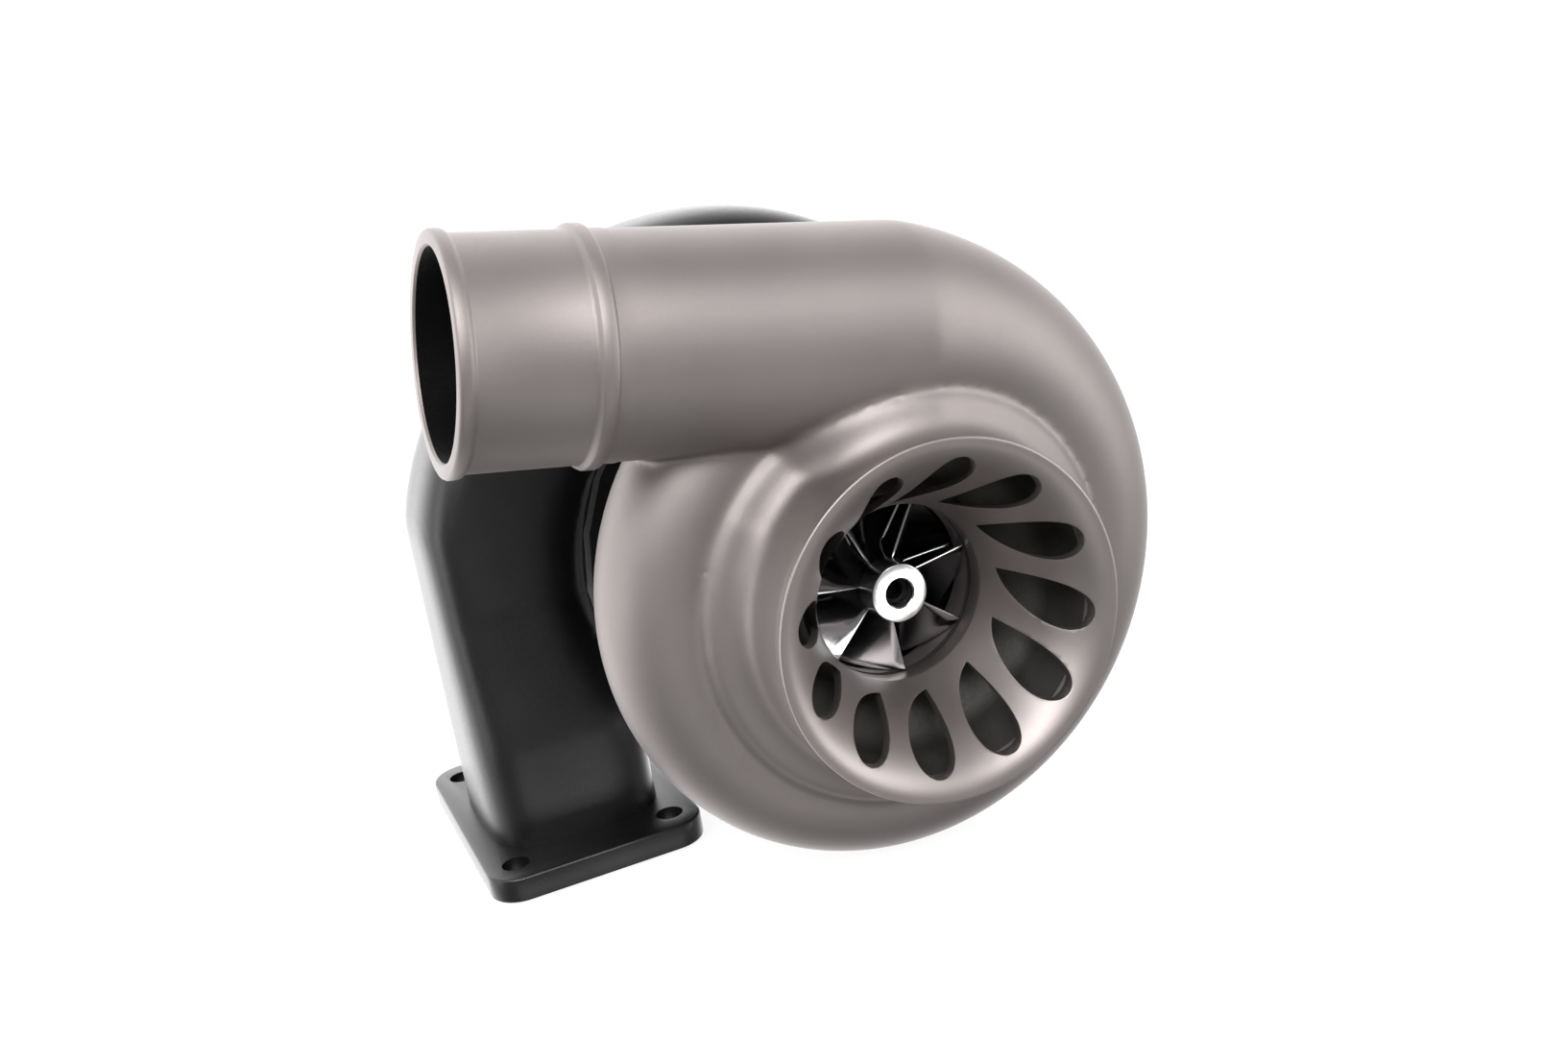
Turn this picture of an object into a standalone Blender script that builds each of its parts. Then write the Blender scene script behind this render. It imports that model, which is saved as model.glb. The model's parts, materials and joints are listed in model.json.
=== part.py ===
"""Twin-entry exhaust turbocharger: cast compressor cover, bearing housing and turbine housing.

The origin is the centre of the exhaust inlet flange's lower face, with +Z up. The shaft runs along Y
and the compressor draws air in at the -Y end. Every named size below is in millimetres. Places along
the shaft are stations, counted from the plane of the inlet bell's rim towards the turbine.
"""

import math

import bmesh
import bpy
from mathutils import Matrix, Vector

MM = 0.001
TAU = 2 * math.pi

# Clearances
FIT = 0.3  # between two pieces that seat on each other
RUNNING = 0.5  # between a wheel's blades and the wall round them
CUT_OVER = 2.0  # how far a cutter runs past the face it opens

# Facets: pieces that seat in one another are turned with the same count, corner to corner
COVER_FACETS = 28
SOCKET_FACETS = 24

# Layout of the main axes
SHAFT_X = 110.0  # shaft axis, sideways from the inlet flange's centre
SHAFT_Z = 103.4  # shaft axis, above the inlet flange's lower face
RIM_TO_FLANGE = 175.4  # inlet rim plane to the inlet flange's centre, along the shaft
COVER_CLOCK = math.radians(9.5)  # the cover is turned this far on the clamp, outlet upwards

# Inlet bell
RIM_R = 63.5
RIM_DEEP = 3.0
BELL_SPIGOT_R = 58.5
BELL_SPIGOT_DEEP = 5.0
BELL_SPIGOT_WALL = 2.0
BELL_WALL = 2.6
THROAT_R = 32.5
THROAT_START = 43.0
THROAT_END = 50.0
BELL_CURVE = 1.75  # higher is flatter near the rim
WINDOWS = 12
WINDOW_R = 48.0  # where the window is widest
WINDOW_WIDE = 15.0
WINDOW_TIP_R = 35.5
WINDOW_SWIRL = math.radians(15)  # the pointed end leads the round end by this much
WINDOW_FIRST = math.radians(12)

# Compressor cover
COVER_WALL = 4.0
NECK_R = 61.6
SHOULDER_R = 75.5
SHOULDER_AT = 38.0
BLEED_SLOT = 3.0
DIFFUSER_FRONT = 79.0
DIFFUSER_R = 76.0
VOLUTE_BACK = 89.0
VOLUTE_INNER_R = 55.0
VOLUTE_SMALL_R = 22.6
OUTLET_R = 38.1
OUTLET_END = 159.5  # outlet face, sideways from the shaft
LIP_R = 39.5
LIP_WIDE = 4.6
COLLAR_R = 40.0
COLLAR_AT = 113.0
COLLAR_WIDE = 5.0
VOLUTE_START = math.radians(130)
CAVITY_START = math.radians(152)
VOLUTE_END = math.radians(450)
VOLUTE_GROWTH = 3.3
VOLUTE_SWELL = 3.5  # extra section radius at the narrow end, fading along the scroll
COVER_FLANGE_R = 84.0
COVER_FLANGE_AT = 92.0
COVER_FLANGE_THICK = 4.0

# Backplate and oil seal at the compressor end
PLATE_R = 69.7
PLATE_FACE = 84.6
PLATE_WEB = 6.0
PLATE_HUB_R = 47.5
PLATE_POCKET_R = 62.0
SEAL_PLATE_R = 22.0
SEAL_PLATE_THICK = 9.0
SEAL_BORE_R = 14.5
O_RING_WIRE = 1.4

# Rotor
SHAFT_STUD_R = 5.1
NUT_FACE = 42.4
NUT_R = 10.8
NUT_LENGTH = 11.0
SHAFT_TIP = 47.5
CENTRE_DRILL_R = 3.5  # the blind hole in the shaft's nut end
CENTRE_DRILL_DEEP = 7.0
WHEEL_NOSE_R = 10.8
WHEEL_TIP_R = 44.0
WHEEL_TIP_WIDE = 4.2
WHEEL_BACK = 83.9
INDUCER_AT = 50.5
FULL_BLADES = 7
COLLAR_DISC_R = 18.0
FLINGER_HUB_R = 13.9
JOURNAL_R = 8.5
SEAL_HUB_R = 11.5

# Bearing housing
HOUSING_FRONT = 100.6
HOUSING_FLANGE_R = 43.5
HOUSING_FLANGE_THICK = 7.0
HOUSING_BODY_R = 31.0
REAR_FLANGE_R = 86.0
REAR_FLANGE_AT = 148.0
REAR_FLANGE_THICK = 8.0
THRUST_POCKET_R = 27.3
BUSH_R = 13.0
BUSH_LENGTH = 12.0
BUSH_FRONT_AT = 112.6
BUSH_REAR_AT = 130.6
SNAP_THICK = 1.4
BACKPLATE_BOLTS = 4
BOLT_CIRCLE_R = 37.5
OIL_AT = 126.5
OIL_TOP = 43.0
DRAIN_BOTTOM = 46.0
DRAIN_R = 9.0
DRAIN_BOLT_SPACING = 44.0
DRAIN_LONG = 60.0
DRAIN_WIDE = 24.0

# Turbine housing
SCROLL_AT = RIM_TO_FLANGE
TURBINE_WALL = 6.0
DIVIDER = 6.0
FLANGE_LONG = 128.0
FLANGE_WIDE = 88.0
FLANGE_THICK = 10.0
FLANGE_CORNER = 13.0
HOLE_LONG = 100.0
HOLE_WIDE = 64.0
HOLE_R = 5.5
DUCT_HALF_WIDE = 35.5
DUCT_HALF_LONG = 42.0
SCROLL_HALF_LONG = 34.0
SCROLL_SMALL_R = 78.0
SCROLL_LARGE_R = 150.0
SCROLL_END = math.radians(-150)
SCROLL_INNER_R = 52.0
SHIELD_THICK = 1.2
SOCKET_AT = 145.0
SOCKET_LAND = 3.4  # the flat round the socket, which stands forward of the scroll
SOCKET_GROOVE = 1.8
TURBINE_BODY_R = 94.0
NOZZLE_R = 43.0
NOZZLE_FROM = 161.0
NOZZLE_TO = 174.0
TURBINE_TIP_R = 41.0
TURBINE_TIP_TO = 173.0
TURBINE_BACK = 160.3
EXDUCER_R = 35.2
EXDUCER_AT = 200.0
TURBINE_BLADES = 11
OUTLET_BODY_R = 51.0
EXHAUST_BORE_R = 45.0
EXHAUST_FLANGE_R = 59.0
EXHAUST_FLANGE_THICK = 10.0
EXHAUST_END = 240.0

# Clamp bands
BAND_THICK = 4.2
BAND_LIP = 1.6
BAND_OVERLAP = 4.0
BAND_GAP = 10.0
BAND_ANGLE = math.radians(-52)
EAR_TALL = 13.0
EAR_THICK = 4.0
EAR_SET = 0.5  # the ears stand this far back from the band's cut ends
CLAMP_BOLT_R = 2.6


def material(name, colour, roughness, metallic):
    """A plain Principled material."""
    found = bpy.data.materials.get(name)
    if found:
        return found
    made = bpy.data.materials.new(name)
    made.use_nodes = True
    shader = made.node_tree.nodes["Principled BSDF"]
    shader.inputs["Base Color"].default_value = (*colour, 1.0)
    shader.inputs["Roughness"].default_value = roughness
    shader.inputs["Metallic"].default_value = metallic
    return made


def clear_scene():
    for obj in list(bpy.data.objects):
        bpy.data.objects.remove(obj, do_unlink=True)


def collection(name, hidden):
    made = bpy.data.collections.new(name)
    bpy.context.scene.collection.children.link(made)
    made.hide_render = hidden
    return made


clear_scene()
PARTS = collection("turbocharger", False)
CUTTERS = collection("turbocharger_cutters", True)

CAST_ALUMINIUM = material("cast_aluminium", (0.34, 0.32, 0.315), 0.45, 0.9)
CAST_IRON = material("cast_iron", (0.045, 0.045, 0.047), 0.5, 0.6)
MACHINED_ALUMINIUM = material("machined_aluminium", (0.62, 0.61, 0.6), 0.28, 1.0)
MILLED_WHEEL = material("milled_wheel", (0.72, 0.72, 0.73), 0.12, 1.0)
STEEL = material("steel", (0.5, 0.5, 0.51), 0.3, 1.0)
PLATED_STEEL = material("plated_steel", (0.7, 0.69, 0.67), 0.25, 1.0)
NICKEL_ALLOY = material("nickel_alloy", (0.35, 0.32, 0.29), 0.35, 1.0)
BRONZE = material("bronze", (0.55, 0.33, 0.14), 0.35, 1.0)
RUBBER = material("rubber", (0.02, 0.02, 0.02), 0.7, 0.0)
GASKET = material("gasket", (0.12, 0.11, 0.1), 0.8, 0.0)
SHEET_STEEL = material("sheet_steel", (0.4, 0.39, 0.37), 0.4, 1.0)


def on_shaft(obj, clock=0.0):
    """Places an object made round its own Z, with Z the station, on the shaft's axis."""
    obj.location = (SHAFT_X * MM, -RIM_TO_FLANGE * MM, SHAFT_Z * MM)
    obj.rotation_euler = (-math.pi / 2, clock, 0)


def new_object(name, mesh, look=None, cutter=False):
    """Links an object to the parts or, as a hidden helper, to the cutters."""
    obj = bpy.data.objects.new(name, mesh)
    if cutter:
        obj.hide_render = True
        obj.display_type = "WIRE"
        CUTTERS.objects.link(obj)
    else:
        PARTS.objects.link(obj)
        mesh.materials.append(look)
    return obj


def turned(name, profile, look=None, steps=20, cutter=False, clock=0.0):
    """A solid turned round the shaft's axis from (radius, station) points, as a closed section."""
    area = sum(a[0] * b[1] - b[0] * a[1] for a, b in zip(profile, profile[1:] + profile[:1]))
    points = profile if area < 0 else profile[::-1]
    on_axis = [i for i, p in enumerate(points) if p[0] == 0]
    if on_axis:
        # A solid that reaches the axis is turned from an open line, which starts and ends there.
        start = next(i for i in on_axis if (i - 1) % len(points) in on_axis)
        points = points[start:] + points[:start]
    mesh = bpy.data.meshes.new(name)
    edges = [(i, i + 1) for i in range(len(points) - 1)]
    if not on_axis:
        edges.append((len(points) - 1, 0))
    mesh.from_pydata([(r * MM, 0, s * MM) for r, s in points], edges, [])
    obj = new_object(name, mesh, look, cutter)
    screw = obj.modifiers.new("Turn", "SCREW")
    screw.axis = "Z"
    screw.steps = steps
    screw.render_steps = steps
    screw.use_merge_vertices = True
    screw.merge_threshold = 0.00001
    screw.use_smooth_shade = True
    on_shaft(obj, clock)
    return obj


def ring(name, inner, outer, front, back, look, steps=20):
    """A plain washer-like ring on the shaft's axis."""
    return turned(name, [(inner, front), (outer, front), (outer, back), (inner, back)], look, steps)


def lofted(name, rings, look=None, cutter=False, clock=0.0):
    """A closed skin through rings of equal point count, with both ends capped."""
    bm = bmesh.new()
    rows = [[bm.verts.new(Vector(p) * MM) for p in points] for points in rings]
    count = len(rows[0])
    for a, b in zip(rows, rows[1:]):
        for i in range(count):
            j = (i + 1) % count
            bm.faces.new((a[i], a[j], b[j], b[i]))
    bm.faces.new(rows[0])
    bm.faces.new(rows[-1])
    bmesh.ops.recalc_face_normals(bm, faces=bm.faces)
    mesh = bpy.data.meshes.new(name)
    bm.to_mesh(mesh)
    bm.free()
    mesh.shade_smooth()
    obj = new_object(name, mesh, look, cutter)
    on_shaft(obj, clock)
    return obj


def prism(name, outline, low, high, look=None, cutter=False):
    """An outline in X and Y, drawn up along Z from low to high, at the world's own origin."""
    bm = bmesh.new()
    base = bm.faces.new([bm.verts.new((x * MM, y * MM, low * MM)) for x, y in outline])
    grown = bmesh.ops.extrude_face_region(bm, geom=[base])
    top = [v for v in grown["geom"] if isinstance(v, bmesh.types.BMVert)]
    bmesh.ops.translate(bm, verts=top, vec=(0, 0, (high - low) * MM))
    bmesh.ops.recalc_face_normals(bm, faces=bm.faces)
    mesh = bpy.data.meshes.new(name)
    bm.to_mesh(mesh)
    bm.free()
    return new_object(name, mesh, look, cutter)


def box(name, size, centre, look=None, cutter=False):
    """A block by its size and centre, in the frame of the object's own axes."""
    bm = bmesh.new()
    bmesh.ops.create_cube(bm, size=1.0)
    bmesh.ops.scale(bm, verts=bm.verts, vec=Vector(size) * MM)
    bmesh.ops.translate(bm, verts=bm.verts, vec=Vector(centre) * MM)
    mesh = bpy.data.meshes.new(name)
    bm.to_mesh(mesh)
    bm.free()
    return new_object(name, mesh, look, cutter)


def rod(name, radius, low, high, sides=20, look=None, cutter=False, at=(0, 0), turn=0.0):
    """A cylinder, or a hexagon at six sides, along its own Z from low to high."""
    bm = bmesh.new()
    bmesh.ops.create_cone(
        bm, cap_ends=True, segments=sides, radius1=radius * MM, radius2=radius * MM, depth=(high - low) * MM
    )
    bmesh.ops.rotate(bm, verts=bm.verts, cent=(0, 0, 0), matrix=Matrix.Rotation(turn, 3, "Z"))
    bmesh.ops.translate(bm, verts=bm.verts, vec=Vector((at[0], at[1], (low + high) / 2)) * MM)
    mesh = bpy.data.meshes.new(name)
    bm.to_mesh(mesh)
    bm.free()
    return new_object(name, mesh, look, cutter)


def join(obj, other, crosses_itself=False):
    """Unites obj with a helper solid."""
    made = obj.modifiers.new("Join " + other.name, "BOOLEAN")
    made.operation = "UNION"
    made.solver = "EXACT"
    made.use_self = crosses_itself
    made.object = other


def cut(obj, other):
    """Cuts a helper solid out of obj."""
    made = obj.modifiers.new("Cut " + other.name, "BOOLEAN")
    made.operation = "DIFFERENCE"
    made.solver = "EXACT"
    made.object = other


def polar(radius, angle, station):
    """A point in a shaft-aligned object's own frame, angle counted from +X towards world +Z."""
    return (radius * math.cos(angle), -radius * math.sin(angle), station)


def spread(count, low, high):
    return [low + (high - low) * i / (count - 1) for i in range(count)]


# ---------------------------------------------------------------- compressor cover


def volute_radius(angle):
    """Outer section radius of the compressor volute at this angle."""
    share = (angle - CAVITY_START) / (VOLUTE_END - CAVITY_START)
    share = max(share, 0)
    swell = VOLUTE_SWELL * (1 - share) ** 2
    return VOLUTE_SMALL_R + swell + (OUTLET_R - VOLUTE_SMALL_R) * share**VOLUTE_GROWTH


def volute_rings(start, wall, sides, stations, tube):
    """Circular sections round the shaft, then along the straight outlet, less a wall."""
    rings = []
    for angle in spread(stations, start, VOLUTE_END):
        radius = volute_radius(angle)
        middle = VOLUTE_INNER_R + radius
        station = VOLUTE_BACK - radius
        size = radius - wall
        turns = [TAU * i / sides for i in range(sides)]
        rings.append([polar(middle + size * math.cos(t), angle, station + size * math.sin(t)) for t in turns])
    middle = VOLUTE_INNER_R + OUTLET_R
    station = VOLUTE_BACK - OUTLET_R
    for run, size in tube:
        turns = [TAU * i / sides for i in range(sides)]
        rings.append([(-run, -(middle + size * math.cos(t)), station + size * math.sin(t)) for t in turns])
    return rings


def make_cover():
    """Cast cover: neck, shoulder and volute in one, cored for the bell, the wheel and the volute."""
    seat = RIM_DEEP + FIT
    neck = [
        (0, seat),
        (RIM_R - 1.6, seat),
        (NECK_R + 0.6, seat + 4),
        (NECK_R, seat + 9),
        (NECK_R + 1.2, seat + 16),
        (NECK_R + 4.2, seat + 22),
        (SHOULDER_R - 6, SHOULDER_AT - 7),
        (SHOULDER_R - 1.8, SHOULDER_AT - 2.5),
        (SHOULDER_R, SHOULDER_AT + 3),
        (SHOULDER_R, COVER_FLANGE_AT),
        (COVER_FLANGE_R, COVER_FLANGE_AT),
        (COVER_FLANGE_R, COVER_FLANGE_AT + COVER_FLANGE_THICK),
        (0, COVER_FLANGE_AT + COVER_FLANGE_THICK),
    ]
    cover = turned("compressor_cover", neck, CAST_ALUMINIUM, COVER_FACETS, clock=COVER_CLOCK)
    lip_from = OUTLET_END - LIP_WIDE
    half = COLLAR_WIDE / 2
    tube = [
        (COLLAR_AT - half - 2.0, OUTLET_R),
        (COLLAR_AT - half, COLLAR_R),
        (COLLAR_AT + half, COLLAR_R),
        (COLLAR_AT + half + 0.6, OUTLET_R),
        (lip_from - 0.6, OUTLET_R),
        (lip_from, LIP_R),
        (OUTLET_END - 0.8, LIP_R),
        (OUTLET_END, LIP_R - 0.8),
    ]
    skin = lofted("volute_skin", volute_rings(VOLUTE_START, 0, 20, 26, tube), cutter=True, clock=COVER_CLOCK)
    join(cover, skin, crosses_itself=True)
    bore = OUTLET_R - COVER_WALL
    tunnel = [(COLLAR_AT, bore), (OUTLET_END + CUT_OVER, bore)]
    rings = volute_rings(CAVITY_START, COVER_WALL, 14, 20, tunnel)
    cavity = lofted("volute_cavity", rings, cutter=True, clock=COVER_CLOCK)
    back = COVER_FLANGE_AT + COVER_FLANGE_THICK + CUT_OVER
    slot_end = THROAT_END + BLEED_SLOT
    core = [
        (0, seat - CUT_OVER),
        (BELL_SPIGOT_R + FIT, seat - CUT_OVER),
        (BELL_SPIGOT_R + FIT, RIM_DEEP + BELL_SPIGOT_DEEP + 2),
        (NECK_R - COVER_WALL, RIM_DEEP + BELL_SPIGOT_DEEP + 4),
        (NECK_R - COVER_WALL, SHOULDER_AT - 2),
        (NECK_R - COVER_WALL - 5, SHOULDER_AT + 5),
        (THROAT_R + BELL_WALL + 5, THROAT_END - 2),
        (THROAT_R + BELL_WALL + 5, slot_end),
        (THROAT_R, slot_end),
        (THROAT_R, slot_end + 4),
        (THROAT_R + 1.2, slot_end + 11),
        (THROAT_R + 4.5, slot_end + 17.5),
        (WHEEL_TIP_R - 1.5, DIFFUSER_FRONT - 3.2),
        (WHEEL_TIP_R + 3.5, DIFFUSER_FRONT),
        (DIFFUSER_R, DIFFUSER_FRONT),
        (DIFFUSER_R, PLATE_FACE - FIT),
        (PLATE_R + FIT, PLATE_FACE - FIT),
        (PLATE_R + FIT, back),
        (0, back),
    ]
    cut(cover, turned("cover_core", core, steps=COVER_FACETS, cutter=True, clock=COVER_CLOCK))
    cut(cover, cavity)
    return cover


def bell_line(count):
    """(radius, station) points down the bell's front face, from the rim to the throat."""
    points = []
    for share in spread(count, 0, 1):
        radius = RIM_R - 1.2 - (RIM_R - 1.2 - THROAT_R) * math.sin(share * math.pi / 2) ** 0.9
        points.append((radius, THROAT_START * ((RIM_R - 1.2 - radius) / (RIM_R - 1.2 - THROAT_R)) ** BELL_CURVE))
    return points


def offset_line(points, distance):
    """The same line moved along its own normal, away from the inlet."""
    moved = []
    for i, (r, s) in enumerate(points):
        before = points[max(i - 1, 0)]
        after = points[min(i + 1, len(points) - 1)]
        dr = after[0] - before[0]
        ds = after[1] - before[1]
        size = math.hypot(dr, ds)
        moved.append((r + distance * ds / size, s - distance * dr / size))
    return moved


def window_outline():
    """An egg with its pointed end toward the throat; it is widest two thirds of the way out."""
    tip = Vector((WINDOW_TIP_R, 0))
    widest = Vector((math.cos(WINDOW_SWIRL), -math.sin(WINDOW_SWIRL))) * WINDOW_R
    length = (widest - tip).length * 1.5
    ahead = (widest - tip).normalized()
    across = Vector((-ahead.y, ahead.x))
    outline = []
    for t in spread(13, 0, TAU)[:-1]:
        point = tip + ahead * length * (1 - math.cos(t)) / 2
        outline.append(point + across * WINDOW_WIDE * 0.65 * math.sin(t) * math.sin(t / 2))
    return outline


def make_bell():
    """Bell-mouth insert with its ring of recirculation windows, spun round a thin curved wall."""
    front = bell_line(8)
    back = offset_line(front, BELL_WALL)
    back = [p for p in back if p[0] < BELL_SPIGOT_R - BELL_SPIGOT_WALL - 1 and p[1] < THROAT_END - 1]
    section = [(RIM_R - 0.5, 0.0)] + front
    section += [(THROAT_R, THROAT_END), (THROAT_R + BELL_WALL, THROAT_END)]
    section += [(THROAT_R + BELL_WALL, max(p[1] for p in back) + 1.5)]
    section += back[::-1]
    spigot_end = RIM_DEEP + BELL_SPIGOT_DEEP
    section += [(BELL_SPIGOT_R - BELL_SPIGOT_WALL, spigot_end), (BELL_SPIGOT_R, spigot_end)]
    section += [(BELL_SPIGOT_R, RIM_DEEP), (RIM_R - 0.6, RIM_DEEP), (RIM_R, RIM_DEEP - 0.7), (RIM_R, 0.6)]
    bell = turned("inlet_bell", section, MACHINED_ALUMINIUM, COVER_FACETS, clock=COVER_CLOCK)
    outline = window_outline()
    for index in range(WINDOWS):
        angle = WINDOW_FIRST + TAU * index / WINDOWS
        rings = []
        for station in (-CUT_OVER, THROAT_START):
            points = []
            for x, y in outline:
                reach = math.hypot(x, y)
                points.append(polar(reach, angle + math.atan2(y, x), station))
            rings.append(points)
        cut(bell, lofted(f"window_{index + 1}", rings, cutter=True, clock=COVER_CLOCK))
    return bell


# ---------------------------------------------------------------- wheels


def blade(bm, rows, angle, sign):
    """Adds one blade: rows of (hub r, hub s, tip r, tip s, wrap, half thickness) along the flow."""
    sides = []
    for hub_r, hub_s, tip_r, tip_s, wrap, thick in rows:
        corners = []
        for radius, station, half in ((hub_r, hub_s, thick * 1.5), (tip_r, tip_s, thick)):
            for side in (-1, 1):
                spin = angle + sign * wrap + side * half / radius
                corners.append(bm.verts.new(Vector(polar(radius, spin, station)) * MM))
        sides.append(corners)
    for a, b in zip(sides, sides[1:]):
        for i, j in ((0, 1), (1, 3), (3, 2), (2, 0)):
            bm.faces.new((a[i], a[j], b[j], b[i]))
    for end in (sides[0], sides[-1]):
        bm.faces.new((end[0], end[1], end[3], end[2]))


def blades(name, rows_of, count, sign):
    """A ring of blades as one helper mesh."""
    bm = bmesh.new()
    for index in range(count):
        blade(bm, rows_of(index), TAU * index / count, sign)
    bmesh.ops.recalc_face_normals(bm, faces=bm.faces)
    mesh = bpy.data.meshes.new(name)
    bm.to_mesh(mesh)
    bm.free()
    obj = new_object(name, mesh, cutter=True)
    on_shaft(obj)
    return obj


def wheel_hub_radius(share):
    return WHEEL_NOSE_R + (WHEEL_TIP_R - WHEEL_NOSE_R) * (1 - math.cos(share * math.pi / 2)) ** 0.9


def wheel_hub_station(share):
    nose = NUT_FACE + NUT_LENGTH + FIT
    return nose + (WHEEL_BACK - WHEEL_TIP_WIDE - nose + 2.6) * math.sin(share * math.pi / 2)


def make_compressor_wheel():
    """Milled wheel with full blades and splitters between them, on a curved hub."""
    hub = [(wheel_hub_radius(t), wheel_hub_station(t)) for t in spread(7, 0, 1)]
    section = hub + [(WHEEL_TIP_R, WHEEL_BACK), (SHAFT_STUD_R + FIT, WHEEL_BACK), (SHAFT_STUD_R + FIT, hub[0][1])]
    wheel = turned("compressor_wheel", section, MILLED_WHEEL, 21)

    def rows(index):
        start = 0.0 if index % 2 == 0 else 0.3
        made = []
        for t in spread(5, start, 1):
            tip_r = THROAT_R - RUNNING + (WHEEL_TIP_R - THROAT_R + RUNNING) * t**3.2
            face = DIFFUSER_FRONT + 0.6
            tip_s = INDUCER_AT + (face - INDUCER_AT) * (1 - (1 - t) ** 1.5) ** 0.95
            hub_r = wheel_hub_radius(t) - 0.8
            hub_s = wheel_hub_station(t) + 0.8 if t > 0 else wheel_hub_station(0) + 0.8
            wrap = math.radians(60) * (1 - (1 - t) ** 2)
            made.append((hub_r, hub_s, min(tip_r, WHEEL_TIP_R - 0.1), tip_s, wrap, 0.45))
        return made

    join(wheel, blades("compressor_blades", rows, 2 * FULL_BLADES, -1))
    return wheel


def make_turbine_wheel():
    """Investment-cast radial turbine wheel, friction welded to the shaft."""

    def hub_radius(t):
        return 8.5 + (TURBINE_TIP_R - 3 - 8.5) * (1 - t) ** 2.0

    def hub_station(t):
        return TURBINE_BACK + 3.0 + (EXDUCER_AT - TURBINE_BACK - 1) * t**1.3

    section = [(0, TURBINE_BACK), (TURBINE_TIP_R - 3, TURBINE_BACK)]
    section += [(hub_radius(t), hub_station(t)) for t in spread(6, 0, 1)]
    section += [(5.5, EXDUCER_AT + 4.5), (0, EXDUCER_AT + 4.5)]
    wheel = turned("turbine_wheel", section, NICKEL_ALLOY, 22)

    def rows(index):
        made = []
        for t in spread(5, 0, 1):
            bend = min(t / 0.55, 1)
            tip_r = TURBINE_TIP_R - 0.1 - (TURBINE_TIP_R - EXDUCER_R) * math.sin(bend * math.pi / 2)
            tip_s = TURBINE_TIP_TO + (EXDUCER_AT - TURBINE_TIP_TO) * t**1.2
            wrap = math.radians(38) * t**2
            hub_t = 0.02 + 0.96 * t
            made.append((hub_radius(hub_t) - 0.6, hub_station(hub_t) - 0.8, tip_r, tip_s, wrap, 0.6))
        return made

    join(wheel, blades("turbine_blades", rows, TURBINE_BLADES, 1))
    return wheel


# ---------------------------------------------------------------- rotor turned pieces


def make_rotor():
    bore = SHAFT_STUD_R + FIT
    nut_back = NUT_FACE + NUT_LENGTH
    turned(
        "compressor_nut",
        [
            (bore, NUT_FACE),
            (NUT_R - 0.8, NUT_FACE),
            (NUT_R, NUT_FACE + 0.8),
            (NUT_R, nut_back),
            (bore, nut_back),
        ],
        PLATED_STEEL,
        28,
    )
    ring_at = PLATE_FACE + 6.4
    front = WHEEL_BACK + FIT
    flinger_back = HOUSING_FRONT + 0.1
    turned(
        "oil_flinger",
        [
            (bore, front),
            (FLINGER_HUB_R - 2, front),
            (FLINGER_HUB_R, front + 2),
            (FLINGER_HUB_R, ring_at - FIT),
            (FLINGER_HUB_R - 2, ring_at - FIT),
            (FLINGER_HUB_R - 2, ring_at + SNAP_THICK + FIT),
            (FLINGER_HUB_R, ring_at + SNAP_THICK + FIT),
            (FLINGER_HUB_R, flinger_back - 2),
            (COLLAR_DISC_R, flinger_back - 1.6),
            (COLLAR_DISC_R, flinger_back),
            (bore, flinger_back),
        ],
        STEEL,
    )
    seal = ring(
        "compressor_seal_ring",
        FLINGER_HUB_R - 2 + FIT,
        SEAL_BORE_R - 0.2,
        ring_at,
        ring_at + SNAP_THICK,
        STEEL,
    )
    gap_in(seal, 1.2, SEAL_BORE_R, math.pi / 2)
    thrust_front = flinger_back + FIT
    disc = thrust_front + 5.3
    turned(
        "thrust_collar",
        [
            (bore, thrust_front),
            (FLINGER_HUB_R - 1.7, thrust_front),
            (FLINGER_HUB_R - 1.7, disc),
            (COLLAR_DISC_R, disc),
            (COLLAR_DISC_R, disc + 3),
            (bore, disc + 3),
        ],
        STEEL,
    )
    bearing = ring(
        "thrust_bearing",
        FLINGER_HUB_R - 1.7 + FIT,
        THRUST_POCKET_R - FIT,
        thrust_front,
        disc - FIT,
        BRONZE,
        28,
    )
    slot = box("thrust_slot", (12, 16, 12), (0, THRUST_POCKET_R, disc - 3), cutter=True)
    on_shaft(slot)
    cut(bearing, slot)
    journal_at = disc + 3 + FIT
    weld = TURBINE_BACK - FIT
    hub_at = REAR_FLANGE_AT + REAR_FLANGE_THICK - 5
    groove = hub_at + 1.8
    turned(
        "turbine_shaft",
        [
            (0, SHAFT_TIP + CENTRE_DRILL_DEEP),
            (CENTRE_DRILL_R, SHAFT_TIP + CENTRE_DRILL_DEEP - 1),
            (CENTRE_DRILL_R, SHAFT_TIP),
            (SHAFT_STUD_R - 0.5, SHAFT_TIP),
            (SHAFT_STUD_R, SHAFT_TIP + 0.5),
            (SHAFT_STUD_R, journal_at),
            (JOURNAL_R, journal_at),
            (JOURNAL_R, hub_at - 1.5),
            (SEAL_HUB_R, hub_at),
            (SEAL_HUB_R, groove - FIT),
            (SEAL_HUB_R - 1.8, groove - FIT),
            (SEAL_HUB_R - 1.8, groove + SNAP_THICK + FIT),
            (SEAL_HUB_R, groove + SNAP_THICK + FIT),
            (SEAL_HUB_R, weld),
            (0, weld),
        ],
        STEEL,
    )
    hot_seal = ring("turbine_seal_ring", SEAL_HUB_R - 1.8 + FIT, SEAL_HUB_R + 0.3, groove, groove + SNAP_THICK, STEEL)
    gap_in(hot_seal, 1.2, SEAL_HUB_R + 1, math.pi / 2)


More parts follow.
